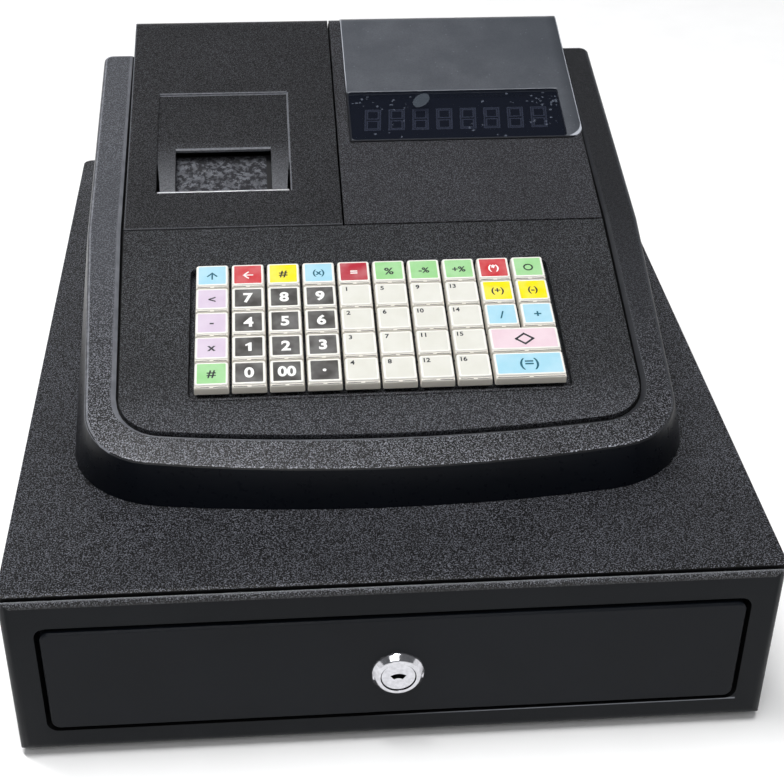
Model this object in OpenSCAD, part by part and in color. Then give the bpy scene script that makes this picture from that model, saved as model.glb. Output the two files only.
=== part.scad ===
// Ticket register: an electronic cash register on a steel cash drawer.
// Millimetres. +Z up, the operator's side faces -Y, the origin is at the bottom centre.

/* [Drawer case] */
// Width of the steel case
case_w = 330; // [326:1:400]
// Depth of the steel case
case_d = 421; // [415:1:460]
// Height of the steel case, without its feet
case_h = 87; // [85:1:120]
// Thickness of the sheet steel
sheet_t = 1.5; // [1:0.1:2]
// Radius of the rolled front edges of the case
case_edge_r = 5; // [3:0.5:6]
// Distance from the front of the case to the seam of its top sheet
seam_in = 1.2; // [1:0.1:1.5]
// Width of this seam
seam_gap = 1.3; // [0.8:0.1:1.6]
// Diameter of a rubber foot
foot_d = 18; // [12:1:24]
// Height of a rubber foot
foot_h = 4; // [2:0.5:10]
// Distance from a foot's centre to the sides of the case
foot_inset = 22; // [16:1:40]

/* [Drawer] */
// Width of the case front beside the drawer's mouth
frame_side = 13.5; // [12:0.5:16]
// Height of the case front above the mouth
frame_top = 16.1; // [14:0.1:18]
// Height of the case front below the mouth
mouth_z = 12.3; // [11:0.1:14]
// Corner radius of the opening
mouth_r = 5; // [3:0.5:8]
// Gap round the drawer front
front_gap = 2.2; // [1:0.1:2.2]
// How far the drawer front stands out of the case
front_proud = 1; // [0:0.1:2]
// Thickness of the drawer front
front_t = 3; // [2.5:0.5:5]
// Gap between the pan and the side of the mouth
pan_side = 3.5; // [3:0.1:5]
// Gap between the rim of the pan and the top of the mouth
pan_drop = 8.4; // [7:0.1:12]
// Room behind the pan, for the latch
pan_rear = 35; // [30:1:46]
// Running gap between the pan and its rails
rail_gap = 0.3; // [0.2:0.05:0.6]
// Width of a rail
rail_w = 14; // [8:1:24]
// Width of the latch behind the pan
latch_w = 46; // [36:1:60]
// Height of the latch
latch_h = 26; // [20:1:32]
// Distance from the bottom of the pan up to the latch
latch_up = 8; // [4:1:14]

/* [Cash tray] */
// Number of bill bays
bill_bays = 4; // [2:1:5]
// Number of coin cups
coin_cups = 5; // [3:1:8]
// Front to back length of a coin cup
coin_l = 82; // [70:1:110]
// Front to back length of a bill bay
bill_l = 166; // [150:1:185]
// Distance from the top of the tray up to the rim of the pan
tray_drop = 4.5; // [3:0.5:8]
// Wall of the tray
tray_t = 2.4; // [1.8:0.1:3.5]
// Radius of the scooped floor of a coin cup
scoop_r = 30; // [20:1:34]
// Depth of the shelf behind the bill bays
shelf_d = 12; // [10:1:20]

/* [Bill clips] */
// Radius of the clip rod
rod_r = 2.5; // [2:0.1:3]
// Radial clearance of the clip rod in its ears
rod_fit = 0.08; // [0.02:0.01:0.1]
// Length of a clip, from the rod to its toe
clip_l = 50; // [40:1:52]
// Width of a clip
clip_w = 14; // [8:1:24]
// Angle of a clip below the horizontal
clip_rest = 46; // [40:1:46]

/* [Lock] */
// Height of the lock above the case floor
lock_z = 38; // [36:0.5:44]
// Diameter of the lock's bezel
bezel_d = 23; // [21:0.5:28]
// Diameter of the lock's barrel
barrel_d = 19; // [17.5:0.5:20]
// Diameter of the turning plug
plug_d = 15.4; // [12:0.2:16]
// How far the lock stands out of the case front
lock_proud = 4; // [3:0.5:7]
// Length of the barrel behind the case front
barrel_l = 13; // [11:1:14]
// Length of the lock's cam, which turns up behind the edge of the mouth
cam_l = 36; // [34:0.5:38]
// Radial clearance of the plug in the barrel
plug_fit = 0.06; // [0.02:0.01:0.1]

/* [Register base] */
// Distance from the case front to the front edge of the register
base_setback = 54; // [45:1:70]
// Height of the register's front edge above the case
base_front_h = 19.5; // [18:0.5:26]
// Slope of the register's deck
deck_tilt = 12.25; // [10:0.25:14]
// Half width of the deck at the front corners
deck_hw_front = 134.6; // [132:0.2:138]
// Half width of the deck at the rear
deck_hw_rear = 140.8; // [137:0.2:143]
// Length of the deck along its slope
deck_l = 325; // [318:1:335]
// Half width of the base where it stands on the case
base_hw = 142; // [139:0.5:145]
// How far the base reaches in front of its deck where it stands on the case
base_step = 2.5; // [0:0.5:5]
// Radius of the base's front corners where it stands on the case
base_corner_r = 48; // [34:1:54]
// Wall of the plastic casings
wall = 3; // [2.4:0.1:4]
// Radius of the deck's front corners
deck_corner_r = 34; // [26:1:40]
// Radius of the gentle curve of the front
front_curve_r = 700; // [500:10:1200]
// Radius that rounds the top edge of the base
brim_r = 2; // [1.5:0.5:6]

/* [Covers] */
// Width of the rim between the front edge of the base and the covers
rim_front = 20.6; // [17:0.2:24]
// Half width of the covers
cover_hw = 123; // [119:0.5:125]
// How much the covers narrow towards their front, on each side
cover_taper = 3.2; // [0:0.2:5]
// Radius of the covers' front corners
cover_corner_r = 22; // [16:1:26]
// Radius of the gentle curve of their front
cover_curve_r = 860; // [500:10:1200]
// Gap of the seams round the covers
seam = 1; // [0.6:0.1:1.2]
// Width of the bevel round the recess of the covers
rim_bevel = 2.4; // [1:0.1:2.6]
// Thickness of the covers where they sit in the base
cover_t = 3; // [2.5:0.1:3.5]
// Distance along the deck from its front edge to the seam of the rear covers
seam_v = 166.6; // [164:0.2:172]
// Place of the seam between the printer cover and the display cover
split_x = -11.2; // [-20:0.2:0]
// Slope of the rear covers
rear_tilt = 15.5; // [14:0.25:17]
// Distance from the rear end of the deck to the hinge line
hinge_back = 13.7; // [12:0.1:18]
// Radius of the rear edge of the covers
hinge_r = 10; // [9:0.5:12]
// Radius of the hinge pins
pin_r = 2.5; // [2:0.1:3]
// Radial clearance of the hinge pins
pin_fit = 0.08; // [0.02:0.01:0.1]
// Height of the seam round the back, above the case
back_seam_h = 63; // [58:1:66]

/* [Keys] */
// Key pitch across the deck
key_px = 17.2; // [16.6:0.05:17.4]
// Key pitch along the deck
key_pv = 16.85; // [16.4:0.05:17]
// Distance along the deck from its front edge to the front row of keys
key_v = 56.4; // [55:0.2:60]
// Gap between two columns of keys
key_gap_x = 1.2; // [0.8:0.1:1.6]
// Gap between two rows of keys
key_gap_v = 0.6; // [0.5:0.1:1]
// Height of the key tops above the deck
key_top = 5.5; // [5:0.1:7]
// Travel of a key
key_travel = 3; // [2:0.1:3.2]
// Side of the square key stem
stem_w = 7; // [5:0.5:8]
// Gap round the key stem in its guide
stem_gap = 0.3; // [0.25:0.05:0.4]
// Depth of the key well below the deck
well_depth = 4; // [3.6:0.1:5]
// Gap between the outer keys and the edge of the well
well_gap = 2.2; // [1.5:0.1:3]
// Width of the raised bead round the well
bead_w = 1.4; // [1:0.1:2]

/* [Printer chute] */
// Width of the chute in the printer cover
chute_w = 70; // [64:1:76]
// Distance from the seam to the lower edge of the chute
chute_u = 27.5; // [25:0.5:32]
// Length of the chute along the cover
chute_l = 81.5; // [78:0.5:88]
// Depth of the chute at its upper edge
chute_step = 0.8; // [0.3:0.1:1]
// Depth of the chute at its lower edge
chute_drop = 6; // [5:0.2:7.5]
// Distance from the chute's centre to the printer cover's centre
chute_shift = -5.2; // [-8:0.2:0]
// Width of the paper notch
notch_w = 50.6; // [46:0.2:54]
// Length of the paper notch
notch_l = 35; // [30:0.5:38]
// Length of the slits beside the legs of the chute
slit_l = 24; // [16:1:30]
// Width of these slits at their lower end
slit_w = 2.2; // [1.4:0.1:2.6]
// Pitch of the teeth of the tear bar
tooth_pitch = 2; // [1.5:0.25:3]

/* [Print unit] */
// Distance from the seam of the rear covers back to the platen
platen_run = 34; // [30:1:38]
// Height of the platen above the case
platen_h = 34; // [32:1:37]
// Distance from the platen back to the paper roll
roll_run = 66; // [60:1:68]
// Height of the paper roll's centre above the case
roll_h = 38; // [37:1:41]
// Radius of the platen
platen_r = 6.5; // [5:0.5:8]
// Radial clearance of the platen's shaft
platen_fit = 0.06; // [0.02:0.01:0.1]
// Width between the frames, for the paper roll
paper_w = 60; // [58:0.5:62]
// Radius of the paper well
paper_r = 31; // [28:0.5:31]

/* [Display] */
// Thickness of the smoked lens
lens_t = 2; // [1.6:0.1:2.4]
// Radius of the lens's front corner
lens_r = 8; // [3:0.5:12]
// How far the lens stands above the cover
lens_proud = 0.6; // [0.2:0.1:1]
// Distance from the seam to the lower edge of the lens
lens_u = 65; // [62:0.5:70]
// Distance from the split to the left edge of the lens
lens_inset = 7; // [5:0.2:9]
// Width of the display window
window_w = 117.5; // [110:0.5:119]
// Length of the display window along the cover
window_l = 41; // [36:0.5:44]
// Depth of the display board's housing
module_h = 10; // [7:0.5:12]

/* [Hidden] */
$fn = 48;
eps = 0.01;

// The case
front_y = -(case_d - lock_proud) / 2;
back_y = front_y + case_d;
case_top = foot_h + case_h;
mouth_w = case_w - 2 * frame_side;
mouth_h = case_h - mouth_z - frame_top;
mouth_z0 = foot_h + mouth_z;

// The pan and the tray
pan_floor_gap = 2.2;
pan_w = mouth_w - 2 * pan_side;
pan_h = mouth_h - pan_floor_gap - pan_drop;
pan_y0 = front_y + front_t - front_proud;
pan_z0 = mouth_z0 + pan_floor_gap;
pan_d = back_y - pan_rear - pan_y0;
tray_h = pan_h - sheet_t - tray_drop;
tray_play = 0.4;
tray_w = pan_w - 2 * sheet_t - 2 * tray_play;
tray_z0 = pan_z0 + sheet_t;
tray_floor = tray_z0 + tray_t;
tray_top = tray_z0 + tray_h;
bill_pitch = (tray_w - tray_t) / bill_bays;
coin_pitch = (tray_w - tray_t) / coin_cups;
shelf_drop = 7;
rod_z = tray_top + 0.5;
ear_r = rod_r + 2.5;
ear_t = 4;
clip_t = 2.5;
toe_r = 3;

// The lock
lock_h = foot_h + lock_z;
front_face = front_y - front_proud;
lock_face = front_y - lock_proud;
barrel_end = front_y + barrel_l;
cam_t = 2.5;
cam_gap = 0.3;
cam_y1 = barrel_end + cam_gap + cam_t;
lip_d = barrel_l - 1.2;

// The tray stands behind the lock, between two stops and a cross wall of the pan
stop_y = pan_y0 + sheet_t + tray_play;
tray_y0 = cam_y1 + 1.5;
bill_y0 = tray_y0 + coin_l + 2 * tray_t;
bill_y1 = bill_y0 + bill_l;
tray_y1 = bill_y1 + tray_t + shelf_d;
rod_y = bill_y1 + tray_t / 2;

// The deck frame: x across, v up the slope, w square to the deck
deck_y = front_y + base_setback;
deck_z = case_top + base_front_h;
deck_dir = [cos(deck_tilt), sin(deck_tilt)];
function deck_point(v, w) = [
    deck_y + v * deck_dir[0] - w * deck_dir[1],
    deck_z + v * deck_dir[1] + w * deck_dir[0]];

// The rear covers' frame: x across, u up the slope
seam_y = deck_point(seam_v, 0)[0];
seam_z = deck_point(seam_v, 0)[1];
rear_dir = [cos(rear_tilt), sin(rear_tilt)];
rear_normal = [-rear_dir[1], rear_dir[0]];
hinge_run = (deck_l - seam_v) * deck_dir[0] + hinge_back;
hinge_y = seam_y + hinge_run;
hinge_z = seam_z + hinge_run * tan(rear_tilt) - hinge_r / cos(rear_tilt);
block_y1 = hinge_y + hinge_r;
back_seam_z = case_top + back_seam_h;
ledge_t = 3;
ledge_w = 5;
recess_gap = seam / 2;
bevel_slope = 0.85;
seat_w = -cover_t + 0.1;

// The keys
key_cols = 10;
key_rows = 5;
field_w = key_cols * key_px;
field_v = key_rows * key_pv;
well_v0 = key_v - key_pv / 2 - well_gap;
well_v1 = well_v0 + field_v + 2 * well_gap;
well_r = 3;
cap_z0 = 0.4;
stem_end = -well_depth - 7;
board_w = stem_end - key_travel - 1;
double_cols = [8];
double_rows = [0, 1];

// The printer cover and its chute
printer_x0 = -cover_hw + recess_gap;
printer_x1 = split_x - seam / 2;
chute_x = (printer_x0 + printer_x1) / 2 + chute_shift;
bend_u = chute_u + 36;
chute_t = 2;
shell_t = 2.5;
side_t = 2.2;
barrel_stop = -30;
ear_wall = 3.5;
ear_play = 0.5;

// The display
display_x0 = split_x + seam / 2;
display_x1 = cover_hw - recess_gap;
lens_y0 = seam_y + lens_u * rear_dir[0];
lens_x0 = split_x + lens_inset;
lens_gap = 0.2;
lens_bed = 0.1;
window_x = lens_x0 + window_w / 2 + 1;

// The print unit
frame_t = 3;
frame_hw = paper_w / 2 + frame_t;
platen = [seam_y + platen_run, case_top + platen_h];
roll = [platen[0] + roll_run, case_top + roll_h];
shaft_r = 2.5;
gear_r = 8;
guide_drop = 9;
guide_u = chute_u - 3;
guide_l = notch_l + 7;

// The cable gland
gland_x = 60;
gland_z = case_top + 16;
gland_r = 8;
cable_r = 3.5;

// Reach of a cutting shape, beyond every edge
far = case_d;

CASE_STEEL = [0.09, 0.09, 0.10];
PLASTIC = [0.16, 0.16, 0.17];
KEY_IVORY = [0.93, 0.91, 0.85];
CHROME = [0.80, 0.80, 0.82];

// Names of the keys, row 1 at the front, column 1 on the left
function is_double(r, c) = len(search(r, double_rows)) > 0 && len(search(c, double_cols)) > 0;
function is_hidden(r, c) = len(search(r, double_rows)) > 0 && len(search(c - 1, double_cols)) > 0;
function key_name(r, c) = str("key_r", r + 1, "_c", c + 1);
KEYS = [for (r = [0:key_rows - 1]) for (c = [0:key_cols - 1]) if (!is_hidden(r, c)) [r, c]];

// ---------------------------------------------------------------- helpers

// Points of an arc, in n steps
function arc(cx, cy, r, a0, a1, n) = [for (i = [0:n]) let (a = a0 + (a1 - a0) * i / n)
    [cx + r * cos(a), cy + r * sin(a)]];

// Outline with a gently curved front and round front corners. Its sides widen from
// hw to hw_rear at y = flare and then run straight. inset shrinks it all round.
function shell_outline(hw, hw_rear, flare, length, corner_r, curve_r, inset = 0, n = 8) =
    let (
        r = corner_r - inset,
        cx = hw - corner_r,
        cy = curve_r - sqrt(pow(curve_r - corner_r, 2) - cx * cx),
        a0 = atan2(cy - curve_r, cx),
        rear_r = max(5 - inset, 0.5),
        right = concat(
            arc(0, curve_r, curve_r - inset, -90, a0, 5),
            arc(cx, cy, r, a0, 0, n),
            [[hw_rear - inset, flare]],
            arc(hw_rear - inset - rear_r, length - inset - rear_r, rear_r, 0, 90, 4)),
        count = len(right))
    concat(right, [for (i = [count - 1:-1:1]) [-right[i][0], right[i][1]]]);

// Places its child in the deck frame
module on_deck() {
    translate([0, deck_y, deck_z]) rotate([deck_tilt, 0, 0]) children();
}

// Places its child in the frame of the rear covers
module on_rear() {
    translate([0, seam_y, seam_z]) rotate([rear_tilt, 0, 0]) children();
}

// Extrudes a side view, drawn in Y and Z, from x0 to x1
module from_side(x0, x1) {
    translate([x0, 0, 0]) rotate([90, 0, 90]) linear_extrude(x1 - x0) children();
}

// Extrudes a front view, drawn in X and Z, from y0 to y1
module from_front(y0, y1) {
    translate([0, y1, 0]) rotate([90, 0, 0]) linear_extrude(y1 - y0) children();
}

// A rectangle with round corners, centred in X, standing on y0
module round_rect(w, y0, y1, r) {
    translate([-w / 2 + r, y0]) square([w - 2 * r, y1 - y0]);
    translate([-w / 2, y0 + r]) square([w, y1 - y0 - 2 * r]);
    for (x = [-w / 2 + r, w / 2 - r]) for (y = [y0 + r, y1 - r]) translate([x, y]) circle(r);
}

// A bar along X
module x_rod(x0, x1, y, z, r) {
    translate([x0, y, z]) rotate([0, 90, 0]) cylinder(h = x1 - x0, r = r);
}

// ---------------------------------------------------------------- drawer case

// Side view of the case: rolled front edges, square back
module case_side(inset) {
    r = case_edge_r - inset;
    y0 = front_y + inset;
    y1 = back_y - inset;
    z0 = foot_h + inset;
    z1 = case_top - inset;
    translate([y0 + r, z0]) square([y1 - y0 - r, z1 - z0]);
    translate([y0, z0 + r]) square([r, z1 - z0 - 2 * r]);
    for (z = [z0 + r, z1 - r]) translate([y0 + r, z]) circle(r);
}

// Plan view of the case, with its folded upright edges
module case_plan(inset) {
    round_rect(case_w - 2 * inset, front_y + inset, back_y - inset, case_edge_r - inset);
}

module case_shape(inset) {
    intersection() {
        from_side(-case_w / 2, case_w / 2) case_side(inset);
        translate([0, 0, foot_h]) linear_extrude(case_h) case_plan(inset);
    }
}

// Rails that carry the pan, with guides folded over its rim
module rails() {
    y0 = front_y + lip_d + 1;
    length = back_y - sheet_t - 1 - y0;
    z0 = foot_h + sheet_t - eps;
    top = pan_z0 + pan_h + rail_gap;
    guide_w = pan_side - rail_gap;
    rail_inset = 2;
    for (s = [-1, 1]) {
        translate([s * (pan_w / 2 - rail_w / 2 - rail_inset) - rail_w / 2, y0, z0])
            cube([rail_w, length, pan_z0 - rail_gap - z0]);
        translate([s * (mouth_w / 2 - guide_w / 2) - guide_w / 2, y0, z0])
            cube([guide_w, length, top + sheet_t - z0]);
        translate([s * (mouth_w / 2 - guide_w) - guide_w, y0, top]) cube([2 * guide_w, length, sheet_t]);
    }
}

// Folded lip round the mouth, behind the front plate
module mouth_lip() {
    lip_t = 1.2;
    from_front(front_y + sheet_t - eps, front_y + lip_d) difference() {
        round_rect(mouth_w + 2 * lip_t, mouth_z0 - lip_t, mouth_z0 + mouth_h + lip_t, mouth_r + lip_t);
        round_rect(mouth_w, mouth_z0, mouth_z0 + mouth_h, mouth_r);
    }
}

// Solenoid latch that releases the drawer, on the back wall
module latch() {
    latch_y = pan_y0 + pan_d + sheet_t;
    translate([-latch_w / 2, latch_y, pan_z0 + latch_up])
        cube([latch_w, back_y - sheet_t + eps - latch_y, latch_h]);
}

module feet() {
    for (sx = [-1, 1]) for (y = [front_y + foot_inset, back_y - foot_inset])
        translate([sx * (case_w / 2 - foot_inset), y, 0]) cylinder(h = foot_h, r = foot_d / 2);
}

module drawer_case() {
    color(CASE_STEEL) {
        difference() {
            case_shape(0);
            case_shape(sheet_t);
            from_front(front_y - 1, front_y + case_edge_r + 1)
                round_rect(mouth_w, mouth_z0, mouth_z0 + mouth_h, mouth_r);
            // Seam between the front frame and the top sheet
            translate([-case_w / 2 - 1, front_y + seam_in, case_top - case_edge_r])
                cube([case_w + 2, seam_gap, case_edge_r + 1]);
        }
        rails();
        mouth_lip();
        latch();
    }
    color("black") feet();
}

// ---------------------------------------------------------------- drawer

// Drawer front with a broken edge
module drawer_front() {
    w = mouth_w - 2 * front_gap;
    z0 = mouth_z0 + front_gap;
    z1 = mouth_z0 + mouth_h - front_gap;
    bevel = 0.8;
    hull() {
        from_front(front_face, front_face + eps)
            round_rect(w - 2 * bevel, z0 + bevel, z1 - bevel, mouth_r - 2, $fn = 32);
        from_front(front_face + bevel, front_y + front_t)
            round_rect(w, z0, z1, mouth_r - 1, $fn = 32);
    }
}

// Steel pan with the cross wall behind the tray
module pan() {
    inner_w = pan_w - 2 * sheet_t;
    difference() {
        translate([-pan_w / 2, pan_y0, pan_z0]) cube([pan_w, pan_d, pan_h]);
        translate([-inner_w / 2, pan_y0 + sheet_t, pan_z0 + sheet_t])
            cube([inner_w, pan_d - 2 * sheet_t, pan_h]);
    }
    translate([-pan_w / 2 + 1, tray_y1 + tray_play, pan_z0 + 1]) cube([pan_w - 2, sheet_t, tray_h - 2]);
}

// Barrel of the lock with its nut and its domed bezel
module lock_barrel() {
    y_nut = pan_y0 + sheet_t;
    nose = lock_proud - front_proud;
    translate([0, 0, lock_h]) rotate([90, 0, 0]) {
        translate([0, 0, -barrel_end]) cylinder(h = barrel_end - front_face, r = barrel_d / 2);
        translate([0, 0, -y_nut - 3]) cylinder(h = 3.2, r = bezel_d / 2, $fn = 6);
        translate([0, 0, -front_face - eps]) rotate_extrude() polygon([
            [0, 0], [bezel_d / 2, 0], [bezel_d / 2, 0.4], [bezel_d / 2 - 0.3, 0.8],
            [bezel_d / 2 - 1.8, nose - 0.5], [bezel_d / 2 - 2.2, nose - 0.15],
            [bezel_d / 2 - 2.8, nose], [0, nose]]);
    }
}

module cash_drawer() {
    notch_r = 1.6;
    difference() {
        union() {
            color(CASE_STEEL) drawer_front();
            color(CASE_STEEL) pan();
            color(CHROME) lock_barrel();
        }
        // Bore of the lock's plug
        translate([0, lock_face - 1, lock_h]) rotate([-90, 0, 0])
            cylinder(h = barrel_end - lock_face + 2, r = plug_d / 2 + plug_fit);
        // Notches of the bezel
        for (s = [-1, 1]) translate([s * bezel_d / 2, lock_face - 1, lock_h - 1]) rotate([-90, 0, 0])
            cylinder(h = 3, r = notch_r);
    }
}

// One bill bay: straight walls, round corners
module bill_bay(i) {
    x = -tray_w / 2 + tray_t + i * bill_pitch + (bill_pitch - tray_t) / 2;
    translate([x, 0, tray_floor]) linear_extrude(tray_h)
        round_rect(bill_pitch - tray_t, bill_y0, bill_y1, 4);
}

// One coin cup: straight sides and a scooped floor
module coin_cup(i) {
    x0 = -tray_w / 2 + tray_t + i * coin_pitch;
    x1 = x0 + coin_pitch - tray_t;
    y0 = tray_y0 + tray_t;
    y1 = y0 + coin_l;
    from_side(x0, x1) {
        translate([y0, tray_floor + scoop_r]) square([y1 - y0, tray_h]);
        translate([y0 + scoop_r, tray_floor]) square([y1 - y0 - 2 * scoop_r, scoop_r + 1]);
        for (y = [y0 + scoop_r, y1 - scoop_r]) translate([y, tray_floor + scoop_r]) circle(scoop_r);
    }
}

module cash_tray() {
    color(PLASTIC) {
        difference() {
            translate([-tray_w / 2, tray_y0, tray_z0]) cube([tray_w, tray_y1 - tray_y0, tray_h]);
            for (i = [0:bill_bays - 1]) bill_bay(i);
            for (i = [0:coin_cups - 1]) coin_cup(i);
            // Lowered shelf behind the bays, under the clips
            translate([-tray_w / 2 - 1, bill_y1 - 3, tray_top - shelf_drop])
                cube([tray_w + 2, tray_t + shelf_d + 4, shelf_drop + 1]);
        }
        for (i = [0:bill_bays]) clip_ear(i);
        // Stops at the sides, which reach the front of the pan
        for (x = [-tray_w / 2, tray_w / 2 - tray_t])
            translate([x, stop_y, tray_z0]) cube([tray_t, tray_y0 + 1 - stop_y, tray_h]);
    }
}

// One ear on the shelf, with the bore of the clip rod
module clip_ear(i) {
    x = -tray_w / 2 + tray_t / 2 + i * bill_pitch;
    x_end = tray_w / 2 - 1.6;
    x0 = min(max(x - ear_t / 2, -x_end), x_end - ear_t);
    difference() {
        union() {
            x_rod(x0, x0 + ear_t, rod_y, rod_z, ear_r);
            translate([x0, rod_y - ear_r, tray_top - shelf_drop - 1])
                cube([ear_t, 2 * ear_r, rod_z - tray_top + shelf_drop + 1]);
        }
        x_rod(x0 - 1, x0 + ear_t + 1, rod_y, rod_z, rod_r + rod_fit);
    }
}

// Four spring clips on one rod
module bill_clips() {
    rod_hl = tray_w / 2 - 1;
    color(CHROME) {
        x_rod(-rod_hl, rod_hl, rod_y, rod_z, rod_r);
        for (i = [0:bill_bays - 1]) {
            x = -tray_w / 2 + tray_t / 2 + (i + 0.5) * bill_pitch;
            translate([x, rod_y, rod_z]) bill_clip();
        }
    }
}

// One clip: hub, flat arm and rounded toe
module bill_clip() {
    rotate([clip_rest, 0, 0]) {
        from_side(-clip_w / 2, clip_w / 2) {
            circle(rod_r + 1.4);
            translate([-clip_l, -clip_t / 2]) square([clip_l, clip_t]);
            translate([-clip_l, 0]) circle(toe_r);
        }
    }
}

// ---------------------------------------------------------------- lock

module lock_cylinder() {
    plug_face = lock_face + 0.6;
    keyway_z = lock_h - 3.9;
    keyway_r = 5.6;
    keyway_t = 2.6;
    keyway_l = 8;
    keyway_span = 38;
    cam_r = 4;
    color(CHROME) difference() {
        union() {
            translate([0, plug_face, lock_h]) rotate([-90, 0, 0])
                cylinder(h = barrel_end + cam_gap - plug_face + eps, r = plug_d / 2);
            // Cam with a round root, behind the barrel
            from_front(barrel_end + cam_gap, cam_y1) {
                translate([0, lock_h]) circle(plug_d / 2);
                translate([0, lock_h - cam_r]) square([cam_l - cam_r, 2 * cam_r]);
                translate([cam_l - cam_r, lock_h]) circle(cam_r);
            }
        }
        // Arched keyway
        from_front(plug_face - 1, plug_face + keyway_l) polygon(concat(
            arc(0, keyway_z, keyway_r, 90 + keyway_span, 90 - keyway_span, 8),
            arc(0, keyway_z, keyway_r - keyway_t, 90 - keyway_span, 90 + keyway_span, 8)));
    }
}

// ---------------------------------------------------------------- register base

// A thin slice of the deck's outline, w above the deck
module deck_slice(w, inset, n = 8) {
    translate([0, 0, w]) linear_extrude(eps) polygon(shell_outline(
        deck_hw_front, deck_hw_rear, seam_v, deck_l, deck_corner_r, front_curve_r, inset, n));
}

// A thin slice of the foot of the base, at the height z
module foot_slice(z, inset, n = 8) {
    translate([0, deck_y - base_step, z]) linear_extrude(eps) polygon(shell_outline(
        base_hw, base_hw + 1, seam_v, deck_l * cos(deck_tilt) + base_step, base_corner_r, front_curve_r,
        inset, n));
}

// The solid body of the ring-shaped base
module base_body() {
    hull() {
        foot_slice(case_top, 0);
        on_deck() {
            deck_slice(-brim_r, 0);
            deck_slice(-brim_r * 0.4, brim_r * 0.2);
            deck_slice(-brim_r * 0.1, brim_r * 0.56);
            deck_slice(-eps, brim_r);
        }
    }
}

module base_hollow() {
    hull() {
        foot_slice(case_top + wall, wall, 4);
        on_deck() deck_slice(-wall, wall + 1, 4);
    }
}

// Outline of the covers in the deck, with straight sides along the rear block
module cover_outline(grow, v0, v1) {
    intersection() {
        translate([0, rim_front]) polygon(shell_outline(cover_hw - cover_taper, cover_hw,
            seam_v - rim_front, deck_l + far, cover_corner_r, cover_curve_r, -grow));
        translate([-case_w / 2, v0]) square([case_w, v1 - v0]);
    }
}

// Recess of the covers, with a chamfer round its edge
module cover_recess() {
    v1 = deck_l + 40;
    translate([0, 0, -cover_t]) linear_extrude(40) cover_outline(recess_gap, 0, v1);
    hull() {
        translate([0, 0, -rim_bevel * bevel_slope]) linear_extrude(eps) cover_outline(recess_gap, 0, v1);
        linear_extrude(eps) cover_outline(recess_gap + rim_bevel, 0, v1);
    }
}

// Rear part of the base, under the overhanging covers
module rear_body(inset) {
    y0 = deck_point(deck_l - 40, 0)[0];
    translate([-cover_hw + inset, y0, case_top + inset])
        cube([2 * (cover_hw - inset), block_y1 - inset - y0, back_seam_h - inset + (inset > 0 ? 1 : 0)]);
}

// Walls behind and beside the printer cover's hinge, up to its barrel
module hinge_walls() {
    x1 = split_x - seam / 2;
    y0 = deck_point(deck_l, 0)[0];
    z0 = back_seam_z - 1;
    top0 = deck_point(deck_l - 1, -cover_t - 0.4);
    top1 = deck_point(deck_l + 14, -cover_t - 0.4);
    difference() {
        union() {
            translate([-cover_hw, block_y1 - wall, z0]) cube([x1 + cover_hw, wall, hinge_z - z0]);
            from_side(-cover_hw, -cover_hw + wall)
                polygon([[y0 - 1, z0], [block_y1, z0], [block_y1, hinge_z], top1, top0]);
        }
        x_rod(-cover_hw - 1, x1 + 1, hinge_y, hinge_z, hinge_r + 0.5);
    }
}

// One ear that carries a hinge pin, on a post from the floor of the base
module hinge_ear(x0) {
    difference() {
        union() {
            x_rod(x0, x0 + ear_wall, hinge_y, hinge_z, 5);
            translate([0, hinge_y, hinge_z]) from_side(x0, x0 + ear_wall) polygon([
                [0, 5], [-17, -4], [-17, case_top + 1 - hinge_z], [-9, case_top + 1 - hinge_z], [-9, -11],
                [-1, -4.9]]);
        }
        x_rod(x0 - 1, x0 + ear_wall + 1, hinge_y, hinge_z, pin_r + pin_fit);
    }
}

// Gland of the power cable
module cable_gland() {
    translate([gland_x, block_y1 - wall, gland_z]) rotate([-90, 0, 0]) difference() {
        cylinder(h = wall + 6, r = gland_r);
        translate([0, 0, -1]) cylinder(h = wall + 8, r = cable_r);
    }
}

module base_case() {
    color(PLASTIC) {
        difference() {
            union() {
                base_body();
                rear_body(0);
            }
            base_hollow();
            rear_body(wall);
            on_deck() cover_recess();
            // Hole of the cable gland
            translate([gland_x, block_y1 - wall - 1, gland_z]) rotate([-90, 0, 0])
                cylinder(h = wall + 2, r = gland_r - 0.1);
        }
        // Ledge under the edge of the covers
        on_deck() translate([0, 0, -cover_t - ledge_t]) linear_extrude(ledge_t) difference() {
            cover_outline(4, 0, deck_l - 1);
            cover_outline(-ledge_w, rim_front + ledge_w, deck_l + 1);
        }
        // Cross beam under the seam of the rear covers
        on_deck() translate([-cover_hw, seam_v - 6, -cover_t - ledge_t]) cube([2 * cover_hw, 9, ledge_t]);
        hinge_walls();
        hinge_ear(printer_x0 + side_t + ear_play);
        hinge_ear(printer_x1 - side_t - ear_play - ear_wall);
    }
    color("black") cable_gland();
}

// ---------------------------------------------------------------- keyboard

module well_outline(grow) {
    w = field_w + 2 * well_gap + 2 * grow;
    round_rect(w, well_v0 - grow, well_v1 + grow, well_r + grow);
}

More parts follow.
